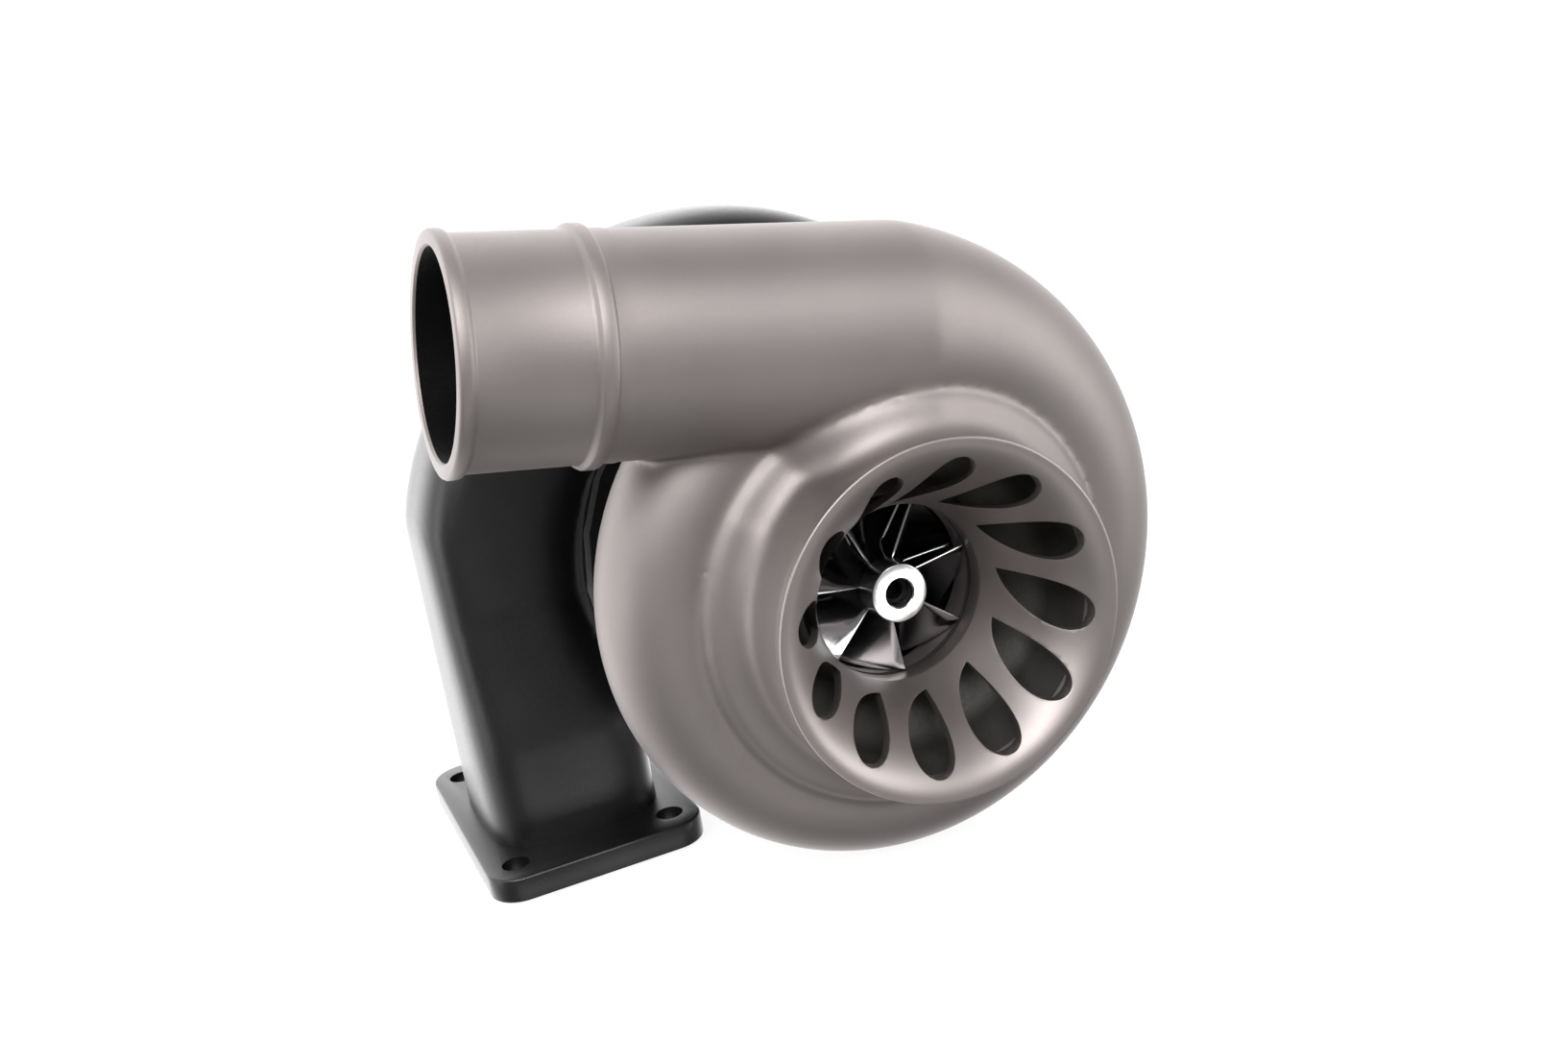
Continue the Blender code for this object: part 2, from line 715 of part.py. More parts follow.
def gap_in(obj, width, radius, angle):
    """Splits a ring with a narrow gap at this angle."""
    cutter = box(obj.name + "_gap", (2 * radius, width, 600), (radius, 0, 0), cutter=True)
    cutter.location = (SHAFT_X * MM, -RIM_TO_FLANGE * MM, SHAFT_Z * MM)
    cutter.rotation_mode = "QUATERNION"
    turn = Matrix.Rotation(-angle, 4, "Y") @ Matrix.Rotation(-math.pi / 2, 4, "X")
    cutter.rotation_quaternion = turn.to_quaternion()
    cut(obj, cutter)


# ---------------------------------------------------------------- centre section


def make_backplate():
    """Cast backplate: the diffuser's rear wall, the wheel recess and the seat for the seal plate."""
    flange = COVER_FLANGE_AT + COVER_FLANGE_THICK + FIT
    back = HOUSING_FRONT - FIT
    web = PLATE_FACE + PLATE_WEB
    seat = PLATE_FACE + 3
    snap = seat + SEAL_PLATE_THICK + 2 * FIT
    bore = SEAL_PLATE_R + FIT
    groove = PLATE_FACE + 3.2
    wide = 2 * O_RING_WIRE + 2 * FIT
    section = [
        (bore - 4, PLATE_FACE + 0.5),
        (WHEEL_TIP_R + 1, PLATE_FACE + 0.5),
        (WHEEL_TIP_R + 1.5, PLATE_FACE),
        (PLATE_R, PLATE_FACE),
        (PLATE_R, groove),
        (PLATE_R - wide, groove),
        (PLATE_R - wide, groove + wide),
        (PLATE_R, groove + wide),
        (PLATE_R, flange),
        (COVER_FLANGE_R, flange),
        (COVER_FLANGE_R, back),
        (PLATE_POCKET_R, back),
        (PLATE_POCKET_R, web),
        (PLATE_HUB_R, web),
        (PLATE_HUB_R, back),
        (bore, back),
        (bore, snap + SNAP_THICK + FIT),
        (bore + 1.4, snap + SNAP_THICK + FIT),
        (bore + 1.4, snap - FIT),
        (bore, snap - FIT),
        (bore, seat),
        (bore - 4, seat),
    ]
    plate = turned("compressor_backplate", section, MACHINED_ALUMINIUM, COVER_FACETS, clock=COVER_CLOCK)
    ring("seal_plate", SEAL_BORE_R, SEAL_PLATE_R, seat + FIT, seat + FIT + SEAL_PLATE_THICK, STEEL)
    clip = ring("seal_plate_snap_ring", SEAL_PLATE_R - 2.5, bore + 1.1, snap, snap + SNAP_THICK, STEEL)
    gap_in(clip, 6.0, SEAL_PLATE_R + 4, -math.pi / 2)
    wire = [
        (
            PLATE_R - wide / 2 + 0.15 + O_RING_WIRE * math.cos(TAU * i / 8),
            groove + wide / 2 + O_RING_WIRE * math.sin(TAU * i / 8),
        )
        for i in range(8)
    ]
    turned("cover_o_ring", wire, RUBBER, COVER_FACETS, clock=COVER_CLOCK)
    return plate


def make_bearing_housing():
    """Cast-iron centre housing with the bearing bore, thrust pocket, oil feed boss and drain pad."""
    front = HOUSING_FRONT
    neck = front + HOUSING_FLANGE_THICK
    rear = REAR_FLANGE_AT + REAR_FLANGE_THICK
    pocket = front + 9.4
    bore = BUSH_R + FIT
    section = [
        (THRUST_POCKET_R, front),
        (HOUSING_FLANGE_R, front),
        (HOUSING_FLANGE_R, neck),
        (HOUSING_BODY_R, neck),
        (HOUSING_BODY_R, REAR_FLANGE_AT - 10),
        (HOUSING_BODY_R + 9, REAR_FLANGE_AT - 4),
        (REAR_FLANGE_R - 12, REAR_FLANGE_AT),
        (REAR_FLANGE_R, REAR_FLANGE_AT),
        (REAR_FLANGE_R, rear),
        (SEAL_HUB_R + 0.5, rear),
        (SEAL_HUB_R + 0.5, rear - 4.5),
        (bore, rear - 5.4),
        (bore, BUSH_REAR_AT + BUSH_LENGTH + 2 * FIT + SNAP_THICK),
        (bore + 1.4, BUSH_REAR_AT + BUSH_LENGTH + 2 * FIT + SNAP_THICK),
        (bore + 1.4, BUSH_REAR_AT + BUSH_LENGTH),
        (bore, BUSH_REAR_AT + BUSH_LENGTH),
        (bore, BUSH_FRONT_AT),
        (bore + 1.4, BUSH_FRONT_AT),
        (bore + 1.4, BUSH_FRONT_AT - SNAP_THICK - 2 * FIT),
        (bore, BUSH_FRONT_AT - SNAP_THICK - 2 * FIT),
        (bore, pocket),
        (THRUST_POCKET_R, pocket),
    ]
    housing = turned("bearing_housing", section, CAST_IRON, SOCKET_FACETS)
    y = OIL_AT - RIM_TO_FLANGE
    boss = rod("oil_boss", 11, 20, OIL_TOP, 24, cutter=True)
    pad = box("drain_pad", (DRAIN_LONG, DRAIN_WIDE, 26), (0, 0, -DRAIN_BOTTOM + 13), cutter=True)
    feed = rod("oil_feed_bore", 5.3, BUSH_R + 14, OIL_TOP + CUT_OVER, 20, cutter=True)
    jet = rod("oil_feed_jet", 2.0, BUSH_R - 1, BUSH_R + 20, 12, cutter=True)
    drain = rod("oil_drain_bore", DRAIN_R, -DRAIN_BOTTOM - CUT_OVER, -BUSH_R + 2, 24, cutter=True)
    for helper in (boss, pad, feed, jet, drain):
        helper.location = (SHAFT_X * MM, y * MM, SHAFT_Z * MM)
    keep = turned("housing_keep", [(0, front + 2), (bore, front + 2), (bore, rear - 5.4), (0, rear - 5.4)], cutter=True)
    join(housing, boss)
    join(housing, pad)
    cut(housing, feed)
    cut(housing, jet)
    cut(housing, drain)
    cut(housing, keep)
    for side in (-1, 1):
        hole = rod(f"drain_hole_{side}", 3.0 + FIT, -DRAIN_BOTTOM - 3, -DRAIN_BOTTOM + 14, 14, cutter=True)
        hole.location = ((SHAFT_X + side * DRAIN_BOLT_SPACING / 2) * MM, y * MM, SHAFT_Z * MM)
        cut(housing, hole)
    plate = bpy.data.objects["compressor_backplate"]
    head_at = neck + FIT
    for index in range(BACKPLATE_BOLTS):
        angle = TAU * (index + 0.5) / BACKPLATE_BOLTS
        x, y2, _ = polar(BOLT_CIRCLE_R, angle, 0)
        hole = rod(f"backplate_hole_{index + 1}", 2.5 + FIT, front - 9 - FIT, neck + 1, 12, cutter=True, at=(x, y2))
        on_shaft(hole)
        cut(housing, hole)
        cut(plate, hole)
        head = rod(f"backplate_bolt_{index + 1}", 4.6, head_at, head_at + 4.2, 6, PLATED_STEEL, at=(x, y2))
        shank = rod(f"backplate_shank_{index + 1}", 2.5, front - 9, head_at + 2, 12, cutter=True, at=(x, y2))
        on_shaft(head)
        on_shaft(shank)
        join(head, shank)
    return housing


def make_bearings():
    inner = JOURNAL_R + FIT
    for name, at in (("front_journal_bushing", BUSH_FRONT_AT), ("rear_journal_bushing", BUSH_REAR_AT)):
        bush = ring(name, inner, BUSH_R, at + FIT, at + BUSH_LENGTH - FIT, BRONZE)
        for index in range(3):
            hole = rod(f"{name}_hole_{index + 1}", 1.6, inner - 2, BUSH_R + 2, 8, cutter=True)
            hole.rotation_euler = (0, TAU * index / 3, 0)
            hole.location = (SHAFT_X * MM, (at + BUSH_LENGTH / 2 - RIM_TO_FLANGE) * MM, SHAFT_Z * MM)
            cut(bush, hole)
    gap = (BUSH_FRONT_AT + BUSH_LENGTH, BUSH_REAR_AT)
    ring("bushing_spacer", inner + 1.6, BUSH_R, gap[0], gap[1], STEEL)
    for name, at in (
        ("front_bushing_snap_ring", BUSH_FRONT_AT - SNAP_THICK - FIT),
        ("rear_bushing_snap_ring", BUSH_REAR_AT + BUSH_LENGTH + FIT),
    ):
        clip = ring(name, BUSH_R - 2.2, BUSH_R + FIT + 1.1, at, at + SNAP_THICK, STEEL)
        gap_in(clip, 5.0, BUSH_R + 4, -math.pi / 2)


def make_oil_fittings():
    """Feed adaptor on top; gasket, flange and two bolts underneath."""
    y = OIL_AT - RIM_TO_FLANGE
    spot = (SHAFT_X * MM, y * MM, SHAFT_Z * MM)
    fitting = rod("oil_feed_fitting", 8.2, OIL_TOP + FIT, OIL_TOP + 8, 6, PLATED_STEEL)
    thread = rod("feed_thread", 5.0, OIL_TOP - 10, OIL_TOP + 4, 20, cutter=True)
    nose = rod("feed_nose", 5.6, OIL_TOP + 6, OIL_TOP + 18, 20, cutter=True)
    way = rod("feed_way", 2.2, OIL_TOP - 14, OIL_TOP + 22, 12, cutter=True)
    for part in (fitting, thread, nose, way):
        part.location = spot
    join(fitting, thread)
    join(fitting, nose)
    cut(fitting, way)
    low = -DRAIN_BOTTOM - FIT
    gasket = box("oil_drain_gasket", (DRAIN_LONG, DRAIN_WIDE, 1.0), (0, 0, low - 0.5), GASKET)
    flange = box("oil_drain_flange", (DRAIN_LONG, DRAIN_WIDE, 7.0), (0, 0, low - 1 - FIT - 3.5), CAST_ALUMINIUM)
    pipe = rod("drain_pipe", DRAIN_R + 1.5, low - 20, low - 1 - FIT - 3, 24, cutter=True)
    bore = rod("drain_way", DRAIN_R - 1, low - 30, low + 6, 24, cutter=True)
    for part in (gasket, flange, pipe, bore):
        part.location = spot
    join(flange, pipe)
    cut(flange, bore)
    cut(gasket, bore)
    under = low - 1 - FIT - 7 - FIT
    for index, side in enumerate((-1, 1)):
        place = ((SHAFT_X + side * DRAIN_BOLT_SPACING / 2) * MM, y * MM, SHAFT_Z * MM)
        hole = rod(f"drain_bolt_way_{index + 1}", 3.0 + FIT, under - 3, low + 4, 14, cutter=True)
        bolt = rod(f"oil_drain_bolt_{index + 1}", 5.6, under - 4.5, under, 6, PLATED_STEEL)
        shank = rod(f"drain_shank_{index + 1}", 3.0, under - 2, low + 10, 14, cutter=True)
        for part in (hole, bolt, shank):
            part.location = place
        cut(gasket, hole)
        cut(flange, hole)
        join(bolt, shank)


def make_heat_shield():
    """Pressed dish between the bearing housing and the turbine wheel, and the ring that holds them in."""
    at = REAR_FLANGE_AT + REAR_FLANGE_THICK + FIT
    inner = SEAL_HUB_R + 1.5
    turned(
        "heat_shield",
        [
            (inner, at + 2.6),
            (inner, at + 2.6 - SHIELD_THICK),
            (inner + 4, at + 2.6 - SHIELD_THICK),
            (inner + 11, at),
            (REAR_FLANGE_R, at),
            (REAR_FLANGE_R, at + SHIELD_THICK),
            (inner + 11.6, at + SHIELD_THICK),
            (inner + 4.4, at + 2.6),
        ],
        SHEET_STEEL,
        SOCKET_FACETS,
    )
    clip_back = REAR_FLANGE_AT - FIT
    clip = ring(
        "turbine_retaining_ring",
        REAR_FLANGE_R - 0.6,
        REAR_FLANGE_R + FIT + SOCKET_GROOVE - FIT,
        clip_back - 2 * SNAP_THICK,
        clip_back,
        PLATED_STEEL,
        SOCKET_FACETS,
    )
    gap_in(clip, 9.0, REAR_FLANGE_R + 6, -math.pi / 3)


# ---------------------------------------------------------------- turbine housing


def scroll_size(angle):
    """(inner radius, outer radius, half width along the shaft) of the scroll at this angle."""
    share = max((angle - SCROLL_END) / (math.pi - SCROLL_END), 0)
    grown = math.sin(share * math.pi / 2) ** 2.6
    outer = SCROLL_SMALL_R + (SCROLL_LARGE_R - SCROLL_SMALL_R) * grown
    straight = SHAFT_X + DUCT_HALF_WIDE
    if angle > math.radians(140):
        outer = min(outer, straight / math.cos(math.pi - angle))
    inner = SCROLL_INNER_R + (socket_clear() - SCROLL_INNER_R) * share**2
    half = 15 + (SCROLL_HALF_LONG - 15) * share**0.8
    return inner, outer, half


def socket_clear():
    """Radius outside which the duct and the scroll keep clear of the bearing housing's socket."""
    return REAR_FLANGE_R + FIT + SOCKET_GROOVE


def duct_size(z):
    """(inner radius, outer radius, half width along the shaft) of the upright duct at this height."""
    below = SHAFT_Z - z
    clear = math.sqrt(max(socket_clear() ** 2 - below**2, 0))
    inner = max(SHAFT_X - DUCT_HALF_WIDE, clear)
    share = min(max((z - SHAFT_Z / 2) / (SHAFT_Z / 2), 0), 1)
    half = DUCT_HALF_LONG + (SCROLL_HALF_LONG - DUCT_HALF_LONG) * share
    return inner, SHAFT_X + DUCT_HALF_WIDE, half


def section_points(sides, square):
    """Unit superellipse points, squarer with a higher power."""
    points = []
    for i in range(sides):
        t = TAU * (i + 0.5) / sides
        c = math.copysign(abs(math.cos(t)) ** (2 / square), math.cos(t))
        s = math.copysign(abs(math.sin(t)) ** (2 / square), math.sin(t))
        points.append((c, s))
    return points


def scroll_rings(wall, sides, stations, low, offset=0.0, share=1.0, grow=()):
    """Sections from the flange up the duct and round the scroll, less a wall.

    offset and share place a narrower section beside the divider, as a part of the full half width.
    """
    rings = []

    def ring_at(place, middle, tall, half, square):
        """place turns (radial offset, axial offset) into a point."""
        shape = section_points(sides, square)
        centre = offset * (half - wall + DIVIDER / 2) / 2
        wide = (half - wall) * share - (DIVIDER / 4 if offset else 0)
        rings.append([place(middle + (tall - wall) * c, centre + wide * s) for c, s in shape])

    for z, extra in low:
        def upright(radius, along, z=z):
            return (-radius, -(z - SHAFT_Z), SCROLL_AT + along)

        inner, outer, half = duct_size(z)
        ring_at(upright, (inner + outer) / 2, (outer - inner) / 2 + extra, half + extra, 4.0)
    for angle in spread(stations, math.pi, SCROLL_END):
        inner, outer, half = scroll_size(angle)
        done = (angle - SCROLL_END) / (math.pi - SCROLL_END)

        def round_shaft(radius, along, angle=angle):
            return polar(radius, angle, SCROLL_AT - 6 * (1 - done) + along)

        ring_at(round_shaft, (inner + outer) / 2, (outer - inner) / 2, half, 2.3 + 1.7 * done**3)
    return rings


def rounded_rectangle(half_x, half_y, corner, steps=5):
    points = []
    for quarter, (cx, cy) in enumerate(((1, 1), (-1, 1), (-1, -1), (1, -1))):
        for t in spread(steps, 0, math.pi / 2):
            a = t + quarter * math.pi / 2
            points.append(
                (cx * (half_x - corner) + corner * math.cos(a), cy * (half_y - corner) + corner * math.sin(a))
            )
    return points


def make_turbine_housing():
    """Cast-iron twin-entry housing: foot flange, duct, divided scroll, wheel bore and outlet."""
    socket = REAR_FLANGE_R + FIT
    land = socket + SOCKET_LAND
    neck = EXHAUST_END - EXHAUST_FLANGE_THICK
    body = [
        (0, SOCKET_AT),
        (land, SOCKET_AT),
        (land, SOCKET_AT + 4),
        (land + 2.5, SOCKET_AT + 4.5),
        (land + 2.5, SOCKET_AT + 8),
        (TURBINE_BODY_R, SOCKET_AT + 9),
        (TURBINE_BODY_R, SCROLL_AT - 6),
        (TURBINE_BODY_R - 10, SCROLL_AT + 12),
        (TURBINE_BODY_R - 26, SCROLL_AT + 23),
        (OUTLET_BODY_R + 4, SCROLL_AT + 30),
        (OUTLET_BODY_R, SCROLL_AT + 37),
        (OUTLET_BODY_R, neck),
        (EXHAUST_FLANGE_R, neck),
        (EXHAUST_FLANGE_R, EXHAUST_END),
        (0, EXHAUST_END),
    ]
    housing = turned("turbine_housing", body, CAST_IRON, SOCKET_FACETS)
    low = [(FLANGE_THICK - 4, 2.4), (FLANGE_THICK + 2, 2.4), (FLANGE_THICK + 4.5, 0.6), (FLANGE_THICK + 8, 0)]
    low += [(z, 0) for z in (30, 50, 66, 84)]
    skin = lofted("scroll_skin", scroll_rings(0, 20, 24, low), cutter=True)
    join(housing, skin)
    outline = rounded_rectangle(FLANGE_WIDE / 2, FLANGE_LONG / 2, FLANGE_CORNER)
    foot = prism("foot_flange", outline, 0, FLANGE_THICK, cutter=True)
    join(housing, foot)
    seat = REAR_FLANGE_AT + REAR_FLANGE_THICK + SHIELD_THICK + 2 * FIT
    groove_from = REAR_FLANGE_AT - 2 * SNAP_THICK - 2 * FIT
    bore = [
        (0, SOCKET_AT - 40),
        (socket, SOCKET_AT - 40),
        (socket, groove_from),
        (socket + SOCKET_GROOVE, groove_from),
        (socket + SOCKET_GROOVE, REAR_FLANGE_AT),
        (socket, REAR_FLANGE_AT),
        (socket, seat),
        (NOZZLE_R + 12, seat),
        (NOZZLE_R + 10, NOZZLE_FROM),
        (NOZZLE_R + 3, NOZZLE_FROM),
        (NOZZLE_R + 3, NOZZLE_TO),
        (TURBINE_TIP_R + RUNNING, NOZZLE_TO),
        (EXDUCER_R + 1.2 + RUNNING, NOZZLE_TO + 8),
        (EXDUCER_R + RUNNING, NOZZLE_TO + 14),
        (EXDUCER_R + RUNNING, EXDUCER_AT + 1),
        (EXHAUST_BORE_R, EXHAUST_END - 8),
        (EXHAUST_BORE_R, EXHAUST_END + CUT_OVER),
        (0, EXHAUST_END + CUT_OVER),
    ]
    cut(housing, turned("turbine_bore", bore, steps=SOCKET_FACETS, cutter=True))
    low_in = [(-CUT_OVER, 0), (FLANGE_THICK + 10, 0), (30, 0), (50, 0), (66, 0), (84, 0)]
    for name, side in (("front_gas_way", -1), ("rear_gas_way", 1)):
        rings = scroll_rings(TURBINE_WALL, 12, 18, low_in, side, 0.5)
        cut(housing, lofted(name, rings[:-1], cutter=True))
    throat = []
    for angle in spread(24, math.radians(165), SCROLL_END + math.radians(14)):
        inner, outer, _ = scroll_size(angle)
        reach = min(inner + TURBINE_WALL + 5, outer - TURBINE_WALL)
        throat.append(
            [
                polar(NOZZLE_R - 1, angle, NOZZLE_FROM),
                polar(reach, angle, NOZZLE_FROM),
                polar(reach, angle, NOZZLE_TO),
                polar(NOZZLE_R - 1, angle, NOZZLE_TO),
            ]
        )
    cut(housing, lofted("nozzle_way", throat, cutter=True))
    for ix in (-1, 1):
        for iy in (-1, 1):
            hole = rod(f"foot_hole_{ix}_{iy}", HOLE_R, -CUT_OVER, FLANGE_THICK + 6, 20, cutter=True)
            hole.location = (ix * HOLE_WIDE / 2 * MM, iy * HOLE_LONG / 2 * MM, 0)
            cut(housing, hole)
    return housing


# ---------------------------------------------------------------- clamp bands


def make_clamp(prefix, flange_r, front, back):
    """A split band over two flanges, with a pair of ears, a bolt across them and its nut."""
    inner = flange_r - BAND_OVERLAP
    outer = flange_r + FIT + BAND_THICK
    section = [
        (inner, front - FIT - BAND_LIP),
        (flange_r + 1, front - FIT - BAND_LIP),
        (outer, front - FIT + 0.6),
        (outer, back + FIT - 0.6),
        (flange_r + 1, back + FIT + BAND_LIP),
        (inner, back + FIT + BAND_LIP),
        (inner, back + FIT),
        (flange_r + FIT, back + FIT),
        (flange_r + FIT, front - FIT),
        (inner, front - FIT),
    ]
    band = turned(prefix + "_clamp_band", section, PLATED_STEEL, COVER_FACETS, clock=COVER_CLOCK)
    gap_in(band, BAND_GAP, outer + EAR_TALL, BAND_ANGLE)
    turn = Matrix.Rotation(-BAND_ANGLE, 4, "Y") @ Matrix.Rotation(-math.pi / 2, 4, "X")
    spot = Vector((SHAFT_X, -RIM_TO_FLANGE, SHAFT_Z)) * MM
    middle = (front + back) / 2
    wide = back - front + BAND_LIP
    lowest = flange_r + FIT + 1

    def set_out(obj):
        obj.location = spot
        obj.rotation_mode = "QUATERNION"
        obj.rotation_quaternion = turn.to_quaternion()
        return obj

    reach = outer + EAR_TALL
    bolt_r = outer + EAR_TALL * 0.55
    for index, side in enumerate((-1, 1)):
        centre = ((lowest + reach) / 2, side * ((BAND_GAP + EAR_THICK) / 2 + EAR_SET), middle)
        ear = box(f"{prefix}_ear_{index + 1}", (reach - lowest, EAR_THICK, wide), centre, cutter=True)
        join(band, set_out(ear))

    def across(name, radius, low, high, sides, look=None, cutter=False):
        bm = bmesh.new()
        bmesh.ops.create_cone(
            bm, cap_ends=True, segments=sides, radius1=radius * MM, radius2=radius * MM, depth=(high - low) * MM
        )
        bmesh.ops.rotate(bm, verts=bm.verts, cent=(0, 0, 0), matrix=Matrix.Rotation(-math.pi / 2, 3, "X"))
        bmesh.ops.translate(bm, verts=bm.verts, vec=Vector((bolt_r, (low + high) / 2, middle)) * MM)
        mesh = bpy.data.meshes.new(name)
        bm.to_mesh(mesh)
        bm.free()
        return set_out(new_object(name, mesh, look, cutter))

    edge = BAND_GAP / 2 + EAR_THICK + EAR_SET
    cut(band, across(prefix + "_clamp_hole", CLAMP_BOLT_R + FIT, -edge - 3, edge + 3, 14, cutter=True))
    bolt = across(prefix + "_clamp_bolt", 4.2, -edge - FIT - 3.6, -edge - FIT, 6, PLATED_STEEL)
    join(bolt, across(prefix + "_clamp_shank", CLAMP_BOLT_R, -edge - 2, edge + 9, 14, cutter=True))
    nut = across(prefix + "_clamp_nut", 4.6, edge + FIT, edge + FIT + 5, 6, PLATED_STEEL)
    cut(nut, across(prefix + "_nut_bore", CLAMP_BOLT_R + FIT, edge - 2, edge + 12, 14, cutter=True))


make_cover()
make_bell()
make_backplate()
make_bearing_housing()
make_bearings()
make_oil_fittings()
make_heat_shield()
make_turbine_housing()
make_compressor_wheel()
make_turbine_wheel()
make_rotor()
make_clamp(
    "compressor",
    COVER_FLANGE_R,
    COVER_FLANGE_AT,
    HOUSING_FRONT - FIT,
)
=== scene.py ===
"""The looks of a twin-entry exhaust turbocharger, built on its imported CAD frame, piece by piece."""

import json
import math

import bmesh
import bpy
from mathutils import Matrix, Vector


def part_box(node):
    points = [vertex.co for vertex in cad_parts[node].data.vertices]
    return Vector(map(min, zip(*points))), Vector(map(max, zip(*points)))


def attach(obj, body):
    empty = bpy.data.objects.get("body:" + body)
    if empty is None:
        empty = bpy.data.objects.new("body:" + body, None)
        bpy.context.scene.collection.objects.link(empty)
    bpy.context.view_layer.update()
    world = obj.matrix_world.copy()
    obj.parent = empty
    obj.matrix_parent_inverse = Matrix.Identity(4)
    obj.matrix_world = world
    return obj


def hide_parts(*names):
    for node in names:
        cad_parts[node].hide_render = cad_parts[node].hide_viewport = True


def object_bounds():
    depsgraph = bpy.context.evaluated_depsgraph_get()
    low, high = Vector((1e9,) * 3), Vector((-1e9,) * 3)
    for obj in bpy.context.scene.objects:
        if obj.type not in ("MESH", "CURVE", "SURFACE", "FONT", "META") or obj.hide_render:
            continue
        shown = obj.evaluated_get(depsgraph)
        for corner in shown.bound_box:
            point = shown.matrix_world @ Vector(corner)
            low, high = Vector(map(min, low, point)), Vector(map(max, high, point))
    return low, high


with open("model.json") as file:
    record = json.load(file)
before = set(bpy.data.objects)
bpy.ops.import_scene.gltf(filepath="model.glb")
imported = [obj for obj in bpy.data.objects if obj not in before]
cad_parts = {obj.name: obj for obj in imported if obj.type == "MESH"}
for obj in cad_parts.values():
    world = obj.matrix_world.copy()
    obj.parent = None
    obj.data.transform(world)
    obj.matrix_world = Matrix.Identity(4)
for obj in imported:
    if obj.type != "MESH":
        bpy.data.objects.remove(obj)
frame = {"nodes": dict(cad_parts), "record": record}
cad_low, cad_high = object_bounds()
bpy.ops.object.select_all(action="DESELECT")
slots_of_nodes = {part["node"]: part["material_slot"] for part in frame["record"]["subparts"]}

# ---------------------------------------------------------------- compressor cover
# Sand-cast aluminium in one piece: the neck round the inlet bell, the shoulder, the volute that
# grows round the wheel and the straight outlet with its hose collar and lip. Bead-blasted all
# over. It is held to the backplate by the clamp band behind it and rides on the casing.

MM = 0.001
SHAFT_X = (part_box("compressor_nut")[0].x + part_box("compressor_nut")[1].x) / 2
SHAFT_Z = (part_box("turbine_shaft")[0].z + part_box("turbine_shaft")[1].z) / 2
RIM_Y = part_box("inlet_bell")[0].y
COVER_CLOCK = math.radians(9.5)
COVER_WALL = 4.0
VOLUTE_BACK = 89.0
VOLUTE_INNER_R = 55.0
VOLUTE_SMALL_R = 22.6
VOLUTE_SWELL = 3.5
VOLUTE_GROWTH = 3.3
VOLUTE_START = math.radians(112)
CAVITY_START = math.radians(152)
VOLUTE_END = math.radians(450)
OUTLET_R = 38.1
OUTLET_END = 159.5
COLLAR_AT = 113.0
CREST_R = 74.6
CREST_DEEPEST = 38.0
STRAIGHT_UP = math.radians(90)
CREST_TURN_OVER = math.radians(91)
AIR_WAY_SHADE_TURN_OVER = math.radians(92)
OUTLET_SECTIONS = 14
OUTLET_SECTIONS_FROM = 8
# Extent of the near-black painted shade in the air way: its radius and reach in the outlet, and the skin
# kept out of it in the volute.
AIR_WAY_SHADE_R = 34.6
AIR_WAY_SHADE_TO = 157
AIR_WAY_SHADE_SKIN = 2
# Extent of the chamber behind the bell that is painted darker as shade.
BEHIND_BELL_SHADE_R = 58.5
BEHIND_BELL_SHADE_FROM = 11
BEHIND_BELL_SHADE_TO = 54
CAST_VOXEL = 1.3
CAST_SOFTENING = 18


def spread(count, low, high):
    return [low + (high - low) * i / (count - 1) for i in range(count)]


def polar(radius, angle, station):
    """A point round the shaft, its angle counted from +X upwards, station counted from the rim."""
    return (radius * math.cos(angle), -radius * math.sin(angle), station)


def edit():
    bpy.ops.object.mode_set(mode="EDIT")
    bpy.ops.mesh.select_mode(type="VERT")
    bpy.ops.mesh.select_all(action="SELECT")


def done(obj):
    """Leaves edit mode with nothing selected."""
    bpy.ops.object.mode_set(mode="OBJECT")
    bpy.ops.object.select_all(action="DESELECT")
    return obj


def fresh(name):
    """Names the primitive that was just added."""
    obj = bpy.context.object
    obj.name = name
    obj.data.name = name
    return obj


def only(obj):
    bpy.ops.object.select_all(action="DESELECT")
    obj.select_set(True)
    bpy.context.view_layer.objects.active = obj


def fix_place():
    """Puts the active piece's place, turn and size into its mesh."""
    bpy.ops.object.transform_apply(location=True, rotation=True, scale=True)


def turn(name, outline, sides, solid=True):
    """A circle drawn along the axis and scaled at each step of the (radius, station) outline."""
    radius, station = outline[0]
    bpy.ops.mesh.primitive_circle_add(vertices=sides, radius=radius * MM, location=(0, 0, station * MM))
    obj = fresh(name)
    edit()
    for next_radius, next_station in outline[1:]:
        bpy.ops.mesh.extrude_region_move(
            TRANSFORM_OT_translate={"value": (0, 0, (next_station - station) * MM)}
        )
        grown = next_radius / radius
        bpy.ops.transform.resize(value=(grown, grown, 1), center_override=(0, 0, next_station * MM))
        radius, station = next_radius, next_station
    bpy.ops.mesh.select_all(action="SELECT")
    if solid:
        bpy.ops.mesh.fill_holes(sides=0)
    else:
        bpy.ops.mesh.select_all(action="DESELECT")
        bpy.ops.mesh.select_non_manifold(extend=False, use_multi_face=False, use_verts=False)
        bpy.ops.mesh.bridge_edge_loops()
    bpy.ops.mesh.select_all(action="SELECT")
    bpy.ops.mesh.normals_make_consistent(inside=False)
    done(obj)
    only(obj)
    fix_place()
    return obj


def wrap(name, sections):
    """A grid wrapped round a run of closed sections of equal point count, with its ends closed."""
    bpy.ops.mesh.primitive_grid_add(x_subdivisions=len(sections[0]), y_subdivisions=len(sections) - 1)
    obj = fresh(name)
    places = [c * MM for section in sections for point in section + section[:1] for c in point]
    obj.data.vertices.foreach_set("co", places)
    edit()
    bpy.ops.mesh.remove_doubles(threshold=0.000001)
    bpy.ops.mesh.fill_holes(sides=0)
    bpy.ops.mesh.select_all(action="SELECT")
    bpy.ops.mesh.normals_make_consistent(inside=False)
    return done(obj)


def apply_all(obj):
    only(obj)
    for modifier in list(obj.modifiers):
        bpy.ops.object.modifier_apply(modifier=modifier.name)


